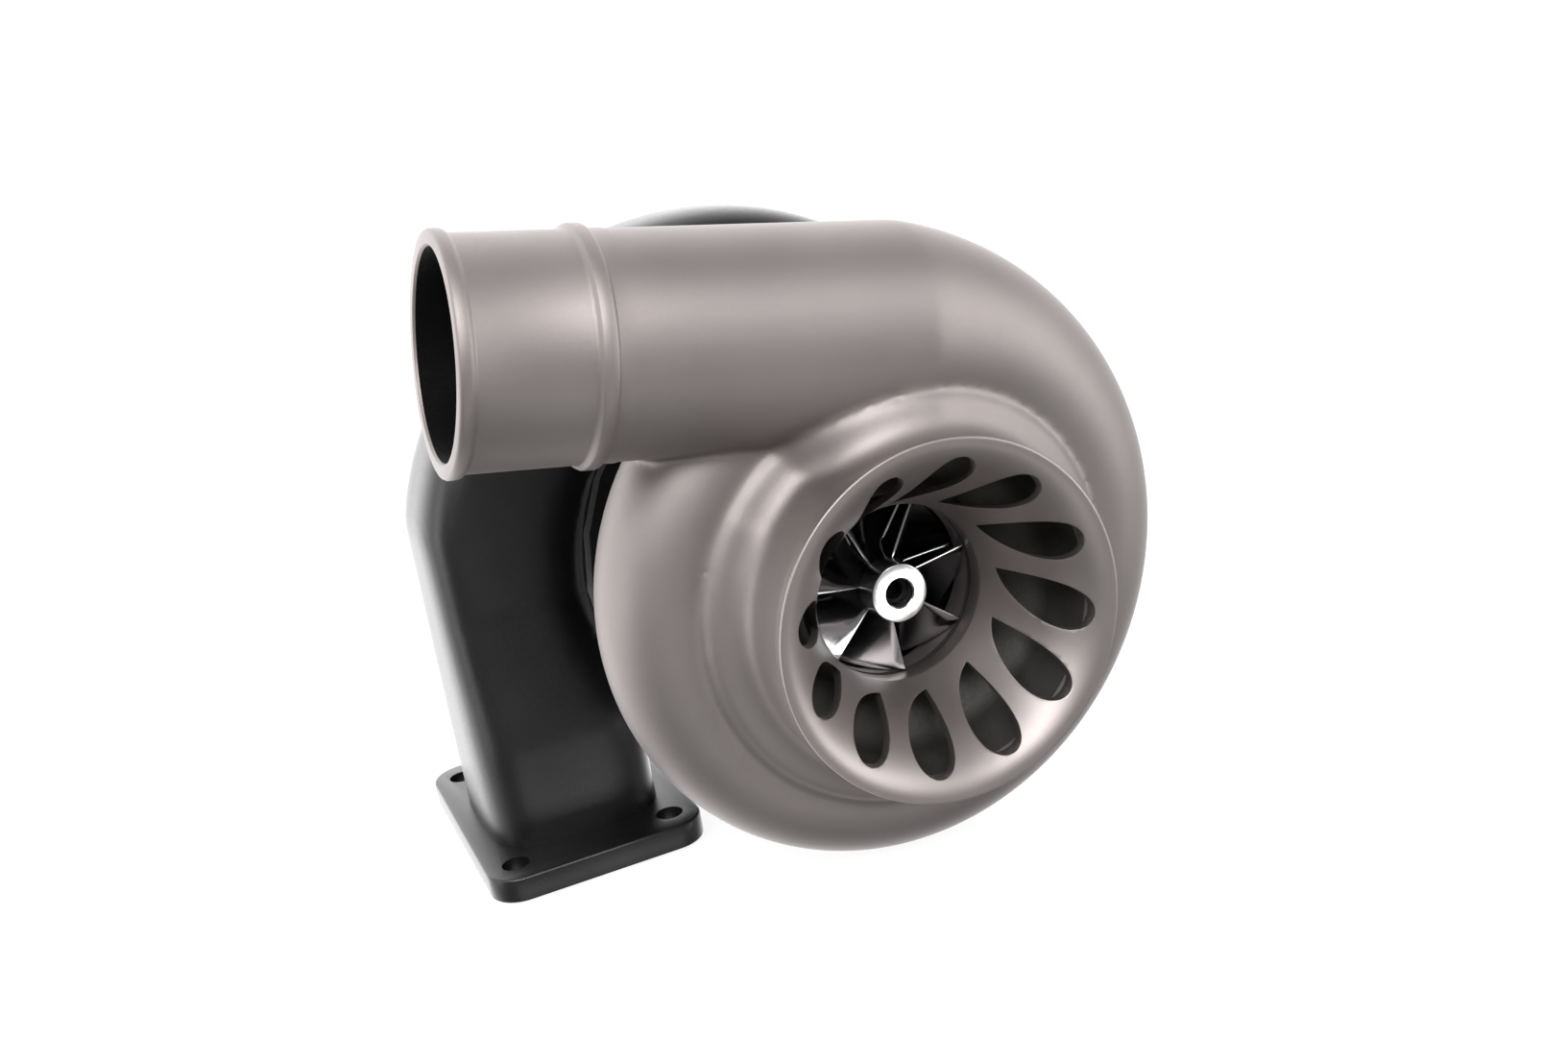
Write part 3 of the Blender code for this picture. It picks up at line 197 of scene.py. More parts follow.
def boolean(piece, tool, how="DIFFERENCE"):
    """Cuts the tool from the piece, or unites them, and clears the tool away."""
    made = piece.modifiers.new(how, "BOOLEAN")
    made.operation = how
    made.solver = "MANIFOLD"
    made.object = tool
    before = len(piece.data.polygons)
    apply_all(piece)
    if len(piece.data.polygons) in (0, before):
        print("boolean did nothing:", piece.name, tool.name)
    bpy.data.objects.remove(tool)


def merge(first, *others):
    bpy.ops.object.select_all(action="DESELECT")
    for obj in (first, *others):
        obj.select_set(True)
    bpy.context.view_layer.objects.active = first
    bpy.ops.object.join()
    return first


def cast(piece, voxel, rounds):
    """Fuses crossing shapes and softens their meeting lines into cast fillets."""
    fuse = piece.modifiers.new("Fuse", "REMESH")
    fuse.mode = "VOXEL"
    fuse.voxel_size = voxel * MM
    soften = piece.modifiers.new("Soften", "SMOOTH")
    soften.factor = 0.5
    soften.iterations = rounds
    apply_all(piece)


def set_on_shaft(obj, clock=COVER_CLOCK):
    """Turns a piece made round its own Z onto the shaft's axis, with its place in its mesh."""
    only(obj)
    obj.location = (SHAFT_X, RIM_Y, SHAFT_Z)
    obj.rotation_euler = (-math.pi / 2, clock, 0)
    fix_place()
    return obj


def settle(obj, body, material, nodes, angle=35):
    """Shades a finished piece, gives it its finish and lets it ride in place of its CAD nodes."""
    only(obj)
    bpy.ops.object.shade_smooth_by_angle(angle=math.radians(angle))
    obj.data.materials.clear()
    obj.data.materials.append(material)
    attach(obj, body)
    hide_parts(*nodes)
    bpy.ops.object.select_all(action="DESELECT")


def volute_radius(angle):
    share = max((angle - CAVITY_START) / (VOLUTE_END - CAVITY_START), 0)
    swell = VOLUTE_SWELL * (1 - share) ** 2
    return VOLUTE_SMALL_R + swell + (OUTLET_R - VOLUTE_SMALL_R) * share**VOLUTE_GROWTH


def volute_sections(start, wall, sides, stations, run_to):
    """Round sections about the shaft, then along the straight outlet, less a wall."""
    sections = []
    turns = [math.tau * i / sides for i in range(sides)]
    for angle in spread(stations, start, VOLUTE_END):
        radius = volute_radius(angle)
        middle = VOLUTE_INNER_R + radius
        size = radius - wall
        place = VOLUTE_BACK - radius
        ring = [(size * math.cos(t), size * math.sin(t)) for t in turns]
        sections.append([polar(middle + out, angle, place + along) for out, along in ring])
    middle = VOLUTE_INNER_R + OUTLET_R
    place = VOLUTE_BACK - OUTLET_R
    size = OUTLET_R - wall
    ring = [(size * math.cos(t), size * math.sin(t)) for t in turns]
    for run in spread(OUTLET_SECTIONS, OUTLET_SECTIONS_FROM, run_to):
        sections.append([(-run, -(middle + out), place + along) for out, along in ring])
    return sections


def crest_station(angle):
    """Where the volute or the outlet, whichever stands there, meets the crest round the neck."""
    if STRAIGHT_UP < angle < CAVITY_START:
        below = VOLUTE_INNER_R + OUTLET_R - CREST_R * math.sin(angle)
        if below > OUTLET_R:
            return CREST_DEEPEST
        return min(VOLUTE_BACK - OUTLET_R - math.sqrt(OUTLET_R**2 - below**2), CREST_DEEPEST)
    radius = volute_radius(angle if angle > CREST_TURN_OVER else angle + math.tau)
    off = VOLUTE_INNER_R + radius - CREST_R
    return min(VOLUTE_BACK - radius - math.sqrt(radius**2 - off**2), CREST_DEEPEST)


def shoulder_sections(stations):
    """The flare from the neck to a soft bead, brought forward wherever the volute stands forward."""
    flare = [(61.7, 15), (62.3, 11.5), (63.8, 8.8), (66.4, 6.6)]
    flare += [(69.5, 5.2), (72.4, 4.4), (75.0, 3.2), (76.3, 0.5)]
    sections = []
    for angle in spread(stations, 0, math.tau):
        crest = crest_station(angle)
        edge = [polar(radius, angle, max(crest - before, 6)) for radius, before in flare]
        inside = [(75.6, crest + 6), (75, 70), (52, 70), (52, 6)]
        edge += [polar(radius, angle, station) for radius, station in inside]
        sections.append(edge)
    return sections


def along_outlet(obj):
    """Lays a piece made round its own Z along the outlet's axis."""
    only(obj)
    obj.rotation_euler = (0, -math.pi / 2, 0)
    obj.location = (0, -(VOLUTE_INNER_R + OUTLET_R) * MM, (VOLUTE_BACK - OUTLET_R) * MM)
    fix_place()
    return obj


def surface_group():
    """Shared mottle and grain: a slow change of tone over a casting, and its fine blasted grain."""
    group = bpy.data.node_groups.new("cast_surface", "ShaderNodeTree")
    tree = group.interface
    tree.new_socket("Vector", in_out="INPUT", socket_type="NodeSocketVector")
    tree.new_socket("Grain size", in_out="INPUT", socket_type="NodeSocketFloat")
    tree.new_socket("Depth", in_out="INPUT", socket_type="NodeSocketFloat")
    tree.new_socket("Mottle", in_out="OUTPUT", socket_type="NodeSocketFloat")
    tree.new_socket("Grain", in_out="OUTPUT", socket_type="NodeSocketFloat")
    tree.new_socket("Normal", in_out="OUTPUT", socket_type="NodeSocketVector")
    nodes, link = group.nodes, group.links.new
    given = nodes.new("NodeGroupInput")
    out = nodes.new("NodeGroupOutput")
    slow = nodes.new("ShaderNodeTexNoise")
    slow.inputs["Scale"].default_value = 14
    slow.inputs["Detail"].default_value = 3
    fine = nodes.new("ShaderNodeTexNoise")
    fine.inputs["Detail"].default_value = 5
    fine.inputs["Roughness"].default_value = 0.65
    bump = nodes.new("ShaderNodeBump")
    bump.inputs["Distance"].default_value = 0.0002
    link(given.outputs["Vector"], slow.inputs["Vector"])
    link(given.outputs["Vector"], fine.inputs["Vector"])
    link(given.outputs["Grain size"], fine.inputs["Scale"])
    link(given.outputs["Depth"], bump.inputs["Strength"])
    link(fine.outputs["Fac"], bump.inputs["Height"])
    link(slow.outputs["Fac"], out.inputs["Mottle"])
    link(fine.outputs["Fac"], out.inputs["Grain"])
    link(bump.outputs["Normal"], out.inputs["Normal"])
    return group


SURFACE = surface_group()


def finish(name, light, dark, rough, metallic, grain, depth):
    """A finish: two tones that drift over the piece, and a grain that breaks up its gloss."""
    made = bpy.data.materials.new(name)
    made.use_nodes = True
    nodes, link = made.node_tree.nodes, made.node_tree.links.new
    shader = nodes["Principled BSDF"]
    shader.inputs["Metallic"].default_value = metallic
    place = nodes.new("ShaderNodeTexCoord")
    surface = nodes.new("ShaderNodeGroup")
    surface.node_tree = SURFACE
    surface.inputs["Grain size"].default_value = grain
    surface.inputs["Depth"].default_value = depth
    tone = nodes.new("ShaderNodeMix")
    tone.data_type = "RGBA"
    tone.inputs["A"].default_value = (*dark, 1)
    tone.inputs["B"].default_value = (*light, 1)
    spread_tone = nodes.new("ShaderNodeMapRange")
    spread_tone.inputs["From Min"].default_value = 0.35
    spread_tone.inputs["From Max"].default_value = 0.65
    gloss = nodes.new("ShaderNodeMapRange")
    gloss.inputs["From Min"].default_value = 0.3
    gloss.inputs["From Max"].default_value = 0.7
    gloss.inputs["To Min"].default_value = rough[0]
    gloss.inputs["To Max"].default_value = rough[1]
    link(place.outputs["Object"], surface.inputs["Vector"])
    link(surface.outputs["Mottle"], spread_tone.inputs["Value"])
    link(spread_tone.outputs["Result"], tone.inputs["Factor"])
    link(tone.outputs["Result"], shader.inputs["Base Color"])
    link(surface.outputs["Grain"], gloss.inputs["Value"])
    link(gloss.outputs["Result"], shader.inputs["Roughness"])
    link(surface.outputs["Normal"], shader.inputs["Normal"])
    return made


CAST_ALUMINIUM = finish(
    "cast_aluminium",
    light=(0.325, 0.293, 0.286),
    dark=(0.285, 0.258, 0.252),
    rough=(0.5, 0.6),
    metallic=1.0,
    grain=2200,
    depth=0.22,
)

# Near black: painted shade for the inside of the volute's air way and the outlet, where the light hardly
# reaches.
AIR_WAY_SHADE = finish(
    "air_way_painted_shade",
    light=(0.008, 0.007, 0.007),
    dark=(0.004, 0.004, 0.004),
    rough=(0.65, 0.8),
    metallic=0.9,
    grain=900,
    depth=0.6,
)
# A darker copy of the cast aluminium: painted shade for the chamber behind the bell, lit only through
# the windows.
BEHIND_BELL_SHADE = finish(
    "behind_bell_painted_shade",
    light=(0.12, 0.114, 0.108),
    dark=(0.08, 0.075, 0.072),
    rough=(0.55, 0.7),
    metallic=1.0,
    grain=900,
    depth=0.6,
)


def finish_and_shade_of(place):
    """0 on the outside, 1 in the air way that the sand core left, painted near black as shade, 2 in the
    chamber behind the bell, painted darker as shade.
    """
    radius = math.hypot(place.x, place.y)
    angle = math.atan2(-place.y, place.x) % math.tau
    angle += math.tau if angle < AIR_WAY_SHADE_TURN_OVER else 0
    size = volute_radius(angle)
    off_volute = math.hypot(radius - VOLUTE_INNER_R - size, place.z - VOLUTE_BACK + size)
    in_volute = off_volute < size - AIR_WAY_SHADE_SKIN
    off_outlet = math.hypot(-place.y - VOLUTE_INNER_R - OUTLET_R, place.z - VOLUTE_BACK + OUTLET_R)
    in_outlet = place.x < 0 and off_outlet < AIR_WAY_SHADE_R and -place.x < AIR_WAY_SHADE_TO
    if radius < BEHIND_BELL_SHADE_R and BEHIND_BELL_SHADE_FROM < place.z < BEHIND_BELL_SHADE_TO:
        return 2
    return int((in_volute and angle > CAVITY_START) or in_outlet)


neck_line = [(61.9, 3.3), (62.0, 8), (61.6, 12), (61.7, 20), (62.6, 27)]
neck_line += [(65, 33), (70, 38), (75, 46), (75.5, 92)]
neck = turn("neck_core", neck_line, sides=160)
outside = volute_sections(VOLUTE_START, wall=0, sides=96, stations=150, run_to=COLLAR_AT + 1)
volute = wrap("volute_core", outside)
compressor_cover = merge(volute, neck, wrap("shoulder_core", shoulder_sections(stations=121)))
cast(compressor_cover, CAST_VOXEL, CAST_SOFTENING)
rim_trim = turn("rim_trim", [(80, -10), (80, 3.3)], sides=96)
boolean(compressor_cover, rim_trim)
boolean(compressor_cover, turn("cover_flange", [(84, 92), (84, 96)], sides=200), "UNION")
hose_line = [(38.3, 104), (38.3, 108.6), (38.5, 109.6), (39.6, 110.4), (40, 111.2), (40, 114.6)]
hose_line += [(39.6, 115.4), (38.5, 116.1), (38.1, 117.2), (38.1, 153.4), (38.5, 154.2)]
hose_line += [(39.3, 154.9), (39.6, 155.9), (39.6, 158.4), (39.2, 159.2), (38.6, OUTLET_END)]
boolean(compressor_cover, along_outlet(turn("hose_end", hose_line, sides=144)), "UNION")
core_line = [(58.8, -4), (58.8, 10), (57.6, 12), (57.6, 36), (52.6, 43), (40.1, 48), (40.1, 53)]
core_line += [(32.5, 53), (32.5, 57), (33.7, 64), (37, 70.5), (42.5, 75.8), (47.5, 79), (76, 79)]
core_line += [(76, 84.3), (70, 84.3), (70, 100)]
boolean(compressor_cover, turn("cover_core", core_line, sides=160))
air_way = volute_sections(CAVITY_START, COVER_WALL, sides=64, stations=80, run_to=COLLAR_AT)
boolean(compressor_cover, wrap("volute_cavity", air_way))
mouth_line = [(34.1, 112), (34.1, 158.6), (35.4, 160.2), (35.4, 164)]
boolean(compressor_cover, along_outlet(turn("outlet_mouth", mouth_line, sides=96)))
compressor_cover.name = "compressor_cover_casting"
# Faces inside the air way and in the chamber behind the bell take the painted shade.
finish_and_shade_numbers = [finish_and_shade_of(face.center / MM) for face in compressor_cover.data.polygons]
set_on_shaft(compressor_cover)
settle(compressor_cover, "casing", CAST_ALUMINIUM, ["compressor_cover"], angle=40)
compressor_cover.data.materials.append(AIR_WAY_SHADE)
compressor_cover.data.materials.append(BEHIND_BELL_SHADE)
compressor_cover.data.polygons.foreach_set("material_index", finish_and_shade_numbers)

# ---------------------------------------------------------------- inlet bell
# A turned aluminium bell mouth pressed into the cover's neck. Twelve egg-shaped windows let air
# pass between the bell and the chamber behind it. Its face is flat near the rim and runs
# down a smooth curve into the throat round the wheel.

RIM_R = 63.5
THROAT_R = 32.5
THROAT_START = 43.0
THROAT_END = 50.0
BELL_CURVE = 1.75
BELL_EASE = 0.9
RIM_FLAT = 1.2
BELL_WALL = 2.6
WINDOWS = 12
WINDOW_R = 48.0
WINDOW_WIDE = 15.0
WINDOW_TIP_R = 35.5
WINDOW_LONGER = 1.5
WINDOW_FULLER = 0.65
WINDOW_SWIRL = math.radians(15)
WINDOW_FIRST = math.radians(12)

MACHINED = finish(
    "machined_aluminium",
    light=(0.35, 0.315, 0.308),
    dark=(0.32, 0.288, 0.28),
    rough=(0.42, 0.5),
    metallic=1.0,
    grain=2600,
    depth=0.12,
)


def bell_line(count):
    points = []
    edge = RIM_R - RIM_FLAT
    for share in spread(count, 0, 1):
        radius = edge - (edge - THROAT_R) * math.sin(share * math.pi / 2) ** BELL_EASE
        points.append((radius, THROAT_START * ((edge - radius) / (edge - THROAT_R)) ** BELL_CURVE))
    return points


def behind(points, distance):
    """The same line moved along its own normal, away from the inlet."""
    moved = []
    for i, (r, s) in enumerate(points):
        before = points[max(i - 1, 0)]
        after = points[min(i + 1, len(points) - 1)]
        out, along = after[0] - before[0], after[1] - before[1]
        size = math.hypot(out, along)
        moved.append((r + distance * along / size, s - distance * out / size))
    return moved


face = bell_line(40)
back = [p for p in behind(face, BELL_WALL) if p[0] < 55 and p[1] < THROAT_END - 1]
bell_section = [(RIM_R - 0.5, 0)] + face + [(THROAT_R, THROAT_END), (THROAT_R + BELL_WALL, THROAT_END)]
bell_section += [(THROAT_R + BELL_WALL, max(p[1] for p in back) + 1)] + back[::-1]
bell_section += [(56.5, 8), (58.5, 8), (58.5, 3), (62.9, 3)]
bell_section += [(63.3, 2.7), (63.5, 2.2), (63.5, 0.7), (63.3, 0.2)]
inlet_bell = turn("inlet_bell_turned", bell_section, sides=192, solid=False)
tip = Vector((WINDOW_TIP_R, 0))
widest = Vector((math.cos(WINDOW_SWIRL), -math.sin(WINDOW_SWIRL))) * WINDOW_R
lengthways = (widest - tip) * WINDOW_LONGER
across = Vector((-lengthways.y, lengthways.x)).normalized() * WINDOW_WIDE * WINDOW_FULLER
outline = []
for t in spread(49, 0, math.tau)[:-1]:
    outline.append(tip + lengthways * (1 - math.cos(t)) / 2 + across * math.sin(t) * math.sin(t / 2))
for index in range(WINDOWS):
    angle = WINDOW_FIRST + math.tau * index / WINDOWS
    rings = []
    for station in (-2, THROAT_START):
        rings.append([polar(math.hypot(x, y), angle + math.atan2(y, x), station) for x, y in outline])
    boolean(inlet_bell, wrap("window", rings))
soften = inlet_bell.modifiers.new("Edges", "BEVEL")
soften.width = 0.25 * MM
soften.segments = 2
soften.limit_method = "ANGLE"
soften.angle_limit = math.radians(50)
apply_all(inlet_bell)
set_on_shaft(inlet_bell)
settle(inlet_bell, "casing", MACHINED, ["inlet_bell"], angle=35)

# ---------------------------------------------------------------- compressor wheel and its nut
# Milled from a forged aluminium blank: seven full blades with seven shorter splitters between
# them on a curved hub, left bright from the cutter. A plated nut with a stepped face holds it on
# the shaft. Both spin with the rotor.

FULL_BLADES = 7
WHEEL_CLOCK = math.radians(15)
WHEEL_NOSE_R = 10.8
WHEEL_TIP_R = 44.0
WHEEL_BACK = 83.9
NUT_FACE = 42.4
NUT_BACK = 53.4
BORE_R = 5.4
BLADE_FRONT = 50.5
BLADE_REAR = 79.6
BLADE_THICK = 0.9
BLADE_CLEAR = 0.5
BLADE_ROOT = 0.8
BLADE_WRAP = math.radians(60)
SPLITTER_START = 0.3
DISC_THICK = 4.2
DISC_TAPER = 2.6

MILLED = finish(
    "milled_aluminium",
    light=(0.62, 0.62, 0.63),
    dark=(0.52, 0.52, 0.54),
    rough=(0.12, 0.2),
    metallic=1.0,
    grain=900,
    depth=0.05,
)
PLATED = finish(
    "bright_steel",
    light=(0.9, 0.9, 0.9),
    dark=(0.8, 0.8, 0.8),
    rough=(0.16, 0.26),
    metallic=1.0,
    grain=1800,
    depth=0.05,
)


def hub_radius(t):
    return WHEEL_NOSE_R + (WHEEL_TIP_R - WHEEL_NOSE_R) * (1 - math.cos(t * math.pi / 2)) ** 0.9


def hub_station(t):
    nose = NUT_BACK + 0.3
    return nose + (WHEEL_BACK - DISC_THICK - nose + DISC_TAPER) * math.sin(t * math.pi / 2)


def blade(name, rows, thick, steps=8):
    """One blade as a bent grid between its hub line and its tip line, given a thickness."""
    bpy.ops.mesh.primitive_grid_add(x_subdivisions=steps, y_subdivisions=len(rows) - 1)
    obj = fresh(name)
    places = []
    for hub_r, hub_s, tip_r, tip_s, wrap_angle in rows:
        for v in spread(steps + 1, 0, 1):
            point = polar(hub_r + (tip_r - hub_r) * v, wrap_angle, hub_s + (tip_s - hub_s) * v)
            places += [c * MM for c in point]
    obj.data.vertices.foreach_set("co", places)
    wall = obj.modifiers.new("Wall", "SOLIDIFY")
    wall.thickness = thick * MM
    wall.offset = 0
    apply_all(obj)
    edge = obj.modifiers.new("Edge", "BEVEL")
    edge.width = thick * 0.3 * MM
    edge.segments = 2
    edge.limit_method = "ANGLE"
    edge.angle_limit = math.radians(50)
    apply_all(obj)
    return obj


def copies_round(obj, count, first=0.0):
    """Copies of a blade at even angles round the shaft, each with its own mesh."""
    made = []
    for index in range(count):
        other = obj.copy()
        other.data = obj.data.copy()
        bpy.context.scene.collection.objects.link(other)
        other.data.transform(Matrix.Rotation(-(first + math.tau * index / count), 4, "Z"))
        made.append(other)
    bpy.data.objects.remove(obj)
    return made


def wheel_rows(start):
    """Hub point, tip point and wrap of a blade at each step from its front edge to the rim."""
    rows = []
    for t in spread(22, start, 1):
        tip_r = THROAT_R - BLADE_CLEAR + (WHEEL_TIP_R - THROAT_R + BLADE_CLEAR) * t**3.2
        tip_r = min(tip_r, WHEEL_TIP_R - 0.1)
        tip_s = BLADE_FRONT + (BLADE_REAR - BLADE_FRONT) * (1 - (1 - t) ** 1.5) ** 0.95
        wrap_angle = -BLADE_WRAP * (1 - (1 - t) ** 2)
        rows.append((hub_radius(t) - BLADE_ROOT, hub_station(t) + BLADE_ROOT, tip_r, tip_s, wrap_angle))
    return rows


hub_line = [(hub_radius(t), hub_station(t)) for t in spread(32, 0, 1)] + [(WHEEL_TIP_R, WHEEL_BACK)]
hub_line += [(BORE_R, WHEEL_BACK), (BORE_R, hub_line[0][1])]
wheel = turn("compressor_wheel_milled", hub_line, sides=120, solid=False)
full_blade = blade("full_blade", wheel_rows(0.0), BLADE_THICK)
full = copies_round(full_blade, FULL_BLADES, WHEEL_CLOCK)
splitter = blade("splitter", wheel_rows(SPLITTER_START), BLADE_THICK)
split = copies_round(splitter, FULL_BLADES, WHEEL_CLOCK + math.pi / FULL_BLADES)
wheel = merge(wheel, *full, *split)
set_on_shaft(wheel, 0)
settle(wheel, "rotor", MILLED, ["compressor_wheel"], angle=40)
nut_line = [(BORE_R, NUT_FACE + 0.5), (5.9, NUT_FACE), (10.1, NUT_FACE), (10.6, NUT_FACE + 0.25)]
nut_line += [(10.8, NUT_FACE + 0.8), (10.8, NUT_BACK), (BORE_R, NUT_BACK)]
nut = turn("compressor_nut_turned", nut_line, sides=96, solid=False)
set_on_shaft(nut, 0)
settle(nut, "rotor", PLATED, ["compressor_nut"], angle=40)

# ---------------------------------------------------------------- shaft
# Turned and ground steel, stepped down to the threaded end that carries the nut. The thread and
# the centre drilling in its end, deep in the nut's bore, are painted near black as shade. It is welded
# to the turbine wheel and spins.

THREAD_TO = 0.0535
DRILLING_TO = 0.055
DRILLING_R = 0.004

GROUND = finish(
    "ground_steel",
    light=(0.56, 0.56, 0.57),
    dark=(0.48, 0.48, 0.49),
    rough=(0.26, 0.36),
    metallic=1.0,
    grain=1500,
    depth=0.08,
)
# Near black: painted shade for the shaft's end and its centre drilling, deep inside the nut's bore.
SHAFT_END_SHADE = finish(
    "shaft_end_painted_shade",
    light=(0.012, 0.012, 0.012),
    dark=(0.008, 0.008, 0.008),
    rough=(0.5, 0.65),
    metallic=0.8,
    grain=1500,
    depth=0.1,
)


def in_shaft_end_shade(place):
    """True on the threaded end and in the centre drilling, where near black is painted as shade in the
    nut's bore.
    """
    in_drilling = place.z < DRILLING_TO and place.xy.length < DRILLING_R
    return place.z < THREAD_TO or in_drilling


shaft_line = [(0.05, 54.5), (3.5, 53.5), (3.5, 47.7), (3.7, 47.5), (4.7, 47.5), (5.1, 47.9)]
shaft_line += [(5.1, 109.7), (8.3, 109.7), (8.5, 109.9), (8.5, 149.5), (11.4, 151), (11.5, 152.5)]
shaft_line += [(9.7, 152.5), (9.7, 154.5), (11.5, 154.5), (11.5, 160), (0.05, 160)]
shaft = turn("turbine_shaft_turned", shaft_line, sides=96)
# Faces of the shaft's end inside the nut take the painted shade.
dark = [int(in_shaft_end_shade(face.center)) for face in shaft.data.polygons]
set_on_shaft(shaft, 0)
settle(shaft, "rotor", GROUND, ["turbine_shaft"], angle=40)
shaft.data.materials.append(SHAFT_END_SHADE)
shaft.data.polygons.foreach_set("material_index", dark)

# ---------------------------------------------------------------- turbine housing
# Cast iron in one piece: a four-hole foot flange, the divided inlet duct, the scroll it feeds,
# the socket for the bearing housing and the exhaust outlet with its clamp flange. The casting
# is left with its dark graphite skin.

SCROLL_AT = -RIM_Y / MM
LEVEL = SHAFT_Z / MM
SIDEWAYS = SHAFT_X / MM
FLANGE_THICK = 10.0
DUCT_HALF_WIDE = 35.5
DUCT_HALF_LONG = 42.0
SCROLL_HALF_LONG = 34.0
SCROLL_SMALL_R = 78.0
SCROLL_LARGE_R = 150.0
SCROLL_END = math.radians(-150)
SCROLL_INNER_R = 52.0
SOCKET_CLEAR = 88.1
TURBINE_WALL = 6.0
DIVIDER = 6.0
SCROLL_SMALL_HALF = 15
SCROLL_LEAN = 6
SQUARE_POWER = 4.0
ROUND_POWER = 2.3
SQUARING = 1.7
IRON_VOXEL = 1.8
IRON_SOFTENING = 16
FOOT_WIDE = 88
FOOT_LONG = 128
FOOT_CORNER_R = 13
FOOT_EDGE = 1.0
STUD_X = 32
STUD_Y = 50
STUD_HOLE_R = 5.5
PORT_WIDE = 58
PORT_LONG = 33
PORT_Y = 19.5
STUD_TOOL_DEEP = 0.03
PORT_TOOL_DEEP = 0.04

IRON = finish(
    "cast_iron",
    light=(0.066, 0.066, 0.068),
    dark=(0.05, 0.05, 0.052),
    rough=(0.3, 0.4),
    metallic=0.95,
    grain=1300,
    depth=0.28,
)


def scroll_size(angle):
    """Inner radius, outer radius and half width along the shaft of the scroll at this angle."""
    share = max((angle - SCROLL_END) / (math.pi - SCROLL_END), 0)
    outer = SCROLL_SMALL_R + (SCROLL_LARGE_R - SCROLL_SMALL_R) * math.sin(share * math.pi / 2) ** 2.6
    if angle > math.radians(140):
        outer = min(outer, (SIDEWAYS + DUCT_HALF_WIDE) / math.cos(math.pi - angle))
    inner = SCROLL_INNER_R + (SOCKET_CLEAR - SCROLL_INNER_R) * share**2
    half = SCROLL_SMALL_HALF + (SCROLL_HALF_LONG - SCROLL_SMALL_HALF) * share**0.8
    return inner, outer, half


def duct_size(z):
    """The same three sizes for the upright duct, at a height above the foot's lower face."""
    clear = math.sqrt(max(SOCKET_CLEAR**2 - (LEVEL - z) ** 2, 0))
    share = min(max((z - LEVEL / 2) / (LEVEL / 2), 0), 1)
    half = DUCT_HALF_LONG + (SCROLL_HALF_LONG - DUCT_HALF_LONG) * share
    return max(SIDEWAYS - DUCT_HALF_WIDE, clear), SIDEWAYS + DUCT_HALF_WIDE, half


def squarish(sides, power):
    """Points round a unit circle that is drawn out towards a square as the power grows."""
    points = []
    for i in range(sides):
        t = math.tau * (i + 0.5) / sides
        c = math.copysign(abs(math.cos(t)) ** (2 / power), math.cos(t))
        s = math.copysign(abs(math.sin(t)) ** (2 / power), math.sin(t))
        points.append((c, s))
    return points


def scroll_sections(wall, sides, stations, heights, offset=0, part=1.0):
    """Sections up the duct and round the scroll; offset and part pick one side of the divider."""
    sections = []

    def section(place, inner, outer, half, power):
        middle, tall = (inner + outer) / 2, (outer - inner) / 2 - wall
        centre = offset * (half - wall + DIVIDER / 2) / 2
        wide = (half - wall) * part - (DIVIDER / 4 if offset else 0)
        sections.append([place(middle + tall * c, centre + wide * s) for c, s in squarish(sides, power)])

    for z in heights:
        inner, outer, half = duct_size(z)
        section(
            lambda r, along, z=z: (-r, LEVEL - z, SCROLL_AT + along),
            inner,
            outer,
            half,
            SQUARE_POWER,
        )
    for angle in spread(stations, math.pi, SCROLL_END):
        inner, outer, half = scroll_size(angle)
        share = (angle - SCROLL_END) / (math.pi - SCROLL_END)
        lean = SCROLL_AT - SCROLL_LEAN * (1 - share)
        section(
            lambda r, along, angle=angle, lean=lean: polar(r, angle, lean + along),
            inner,
            outer,
            half,
            ROUND_POWER + SQUARING * share**3,
        )
    return sections


up_the_duct = [4, 8, 14, 22, 30, 40, 50, 58, 66, 75, 84, 94]
shell = wrap("scroll_core", scroll_sections(wall=0, sides=96, stations=130, heights=up_the_duct))
body_line = [(88.7, 145), (89.7, 146), (89.7, 149), (92.2, 149.6), (92.2, 153), (94, 154.5)]
body_line += [(94, 169), (91, 178), (84, 187), (76, 193), (68, 198), (60, 202), (55, 206)]
body_line += [(52, 211), (51, 216), (51, 234)]
turbine_housing = merge(shell, turn("body_core", body_line, sides=160))
cast(turbine_housing, IRON_VOXEL, IRON_SOFTENING)
land_line = [(88.5, 145), (89.7, 145.4), (89.7, 160)]
boolean(turbine_housing, turn("socket_land", land_line, sides=200), "UNION")
out_line = [(50.9, 224), (50.9, 229.5), (51.5, 230), (58.4, 230), (59, 230.6), (59, 239.4), (58.4, 240)]
boolean(turbine_housing, turn("exhaust_flange", out_line, sides=160), "UNION")
bore_line = [(86.3, 100), (86.3, 144.6), (88.1, 144.6), (88.1, 148), (86.3, 148), (86.3, 157.8)]
bore_line += [(55, 157.8), (53, 161), (46, 161), (46, 174), (41.5, 174), (38.2, 179), (36.6, 183)]
bore_line += [(35.7, 188), (35.7, 201), (38, 209), (42, 221), (45, 232), (45, 239.2), (46, 240.3)]
bore_line += [(46, 244)]
boolean(turbine_housing, turn("turbine_bore", bore_line, sides=160))
up_the_way = [-2, 10, 20, 30, 50, 66, 84]
for side in (-1, 1):
    way = scroll_sections(
        TURBINE_WALL, sides=40, stations=60, heights=up_the_way, offset=side, part=0.5
    )
    boolean(turbine_housing, wrap("gas_way", way[:-2]))
set_on_shaft(turbine_housing, 0)
bpy.ops.mesh.primitive_cube_add(size=1, location=(0, 0, FLANGE_THICK / 2 * MM))
foot = fresh("foot")
foot.dimensions = (FOOT_WIDE * MM, FOOT_LONG * MM, FLANGE_THICK * MM)
only(foot)
fix_place()
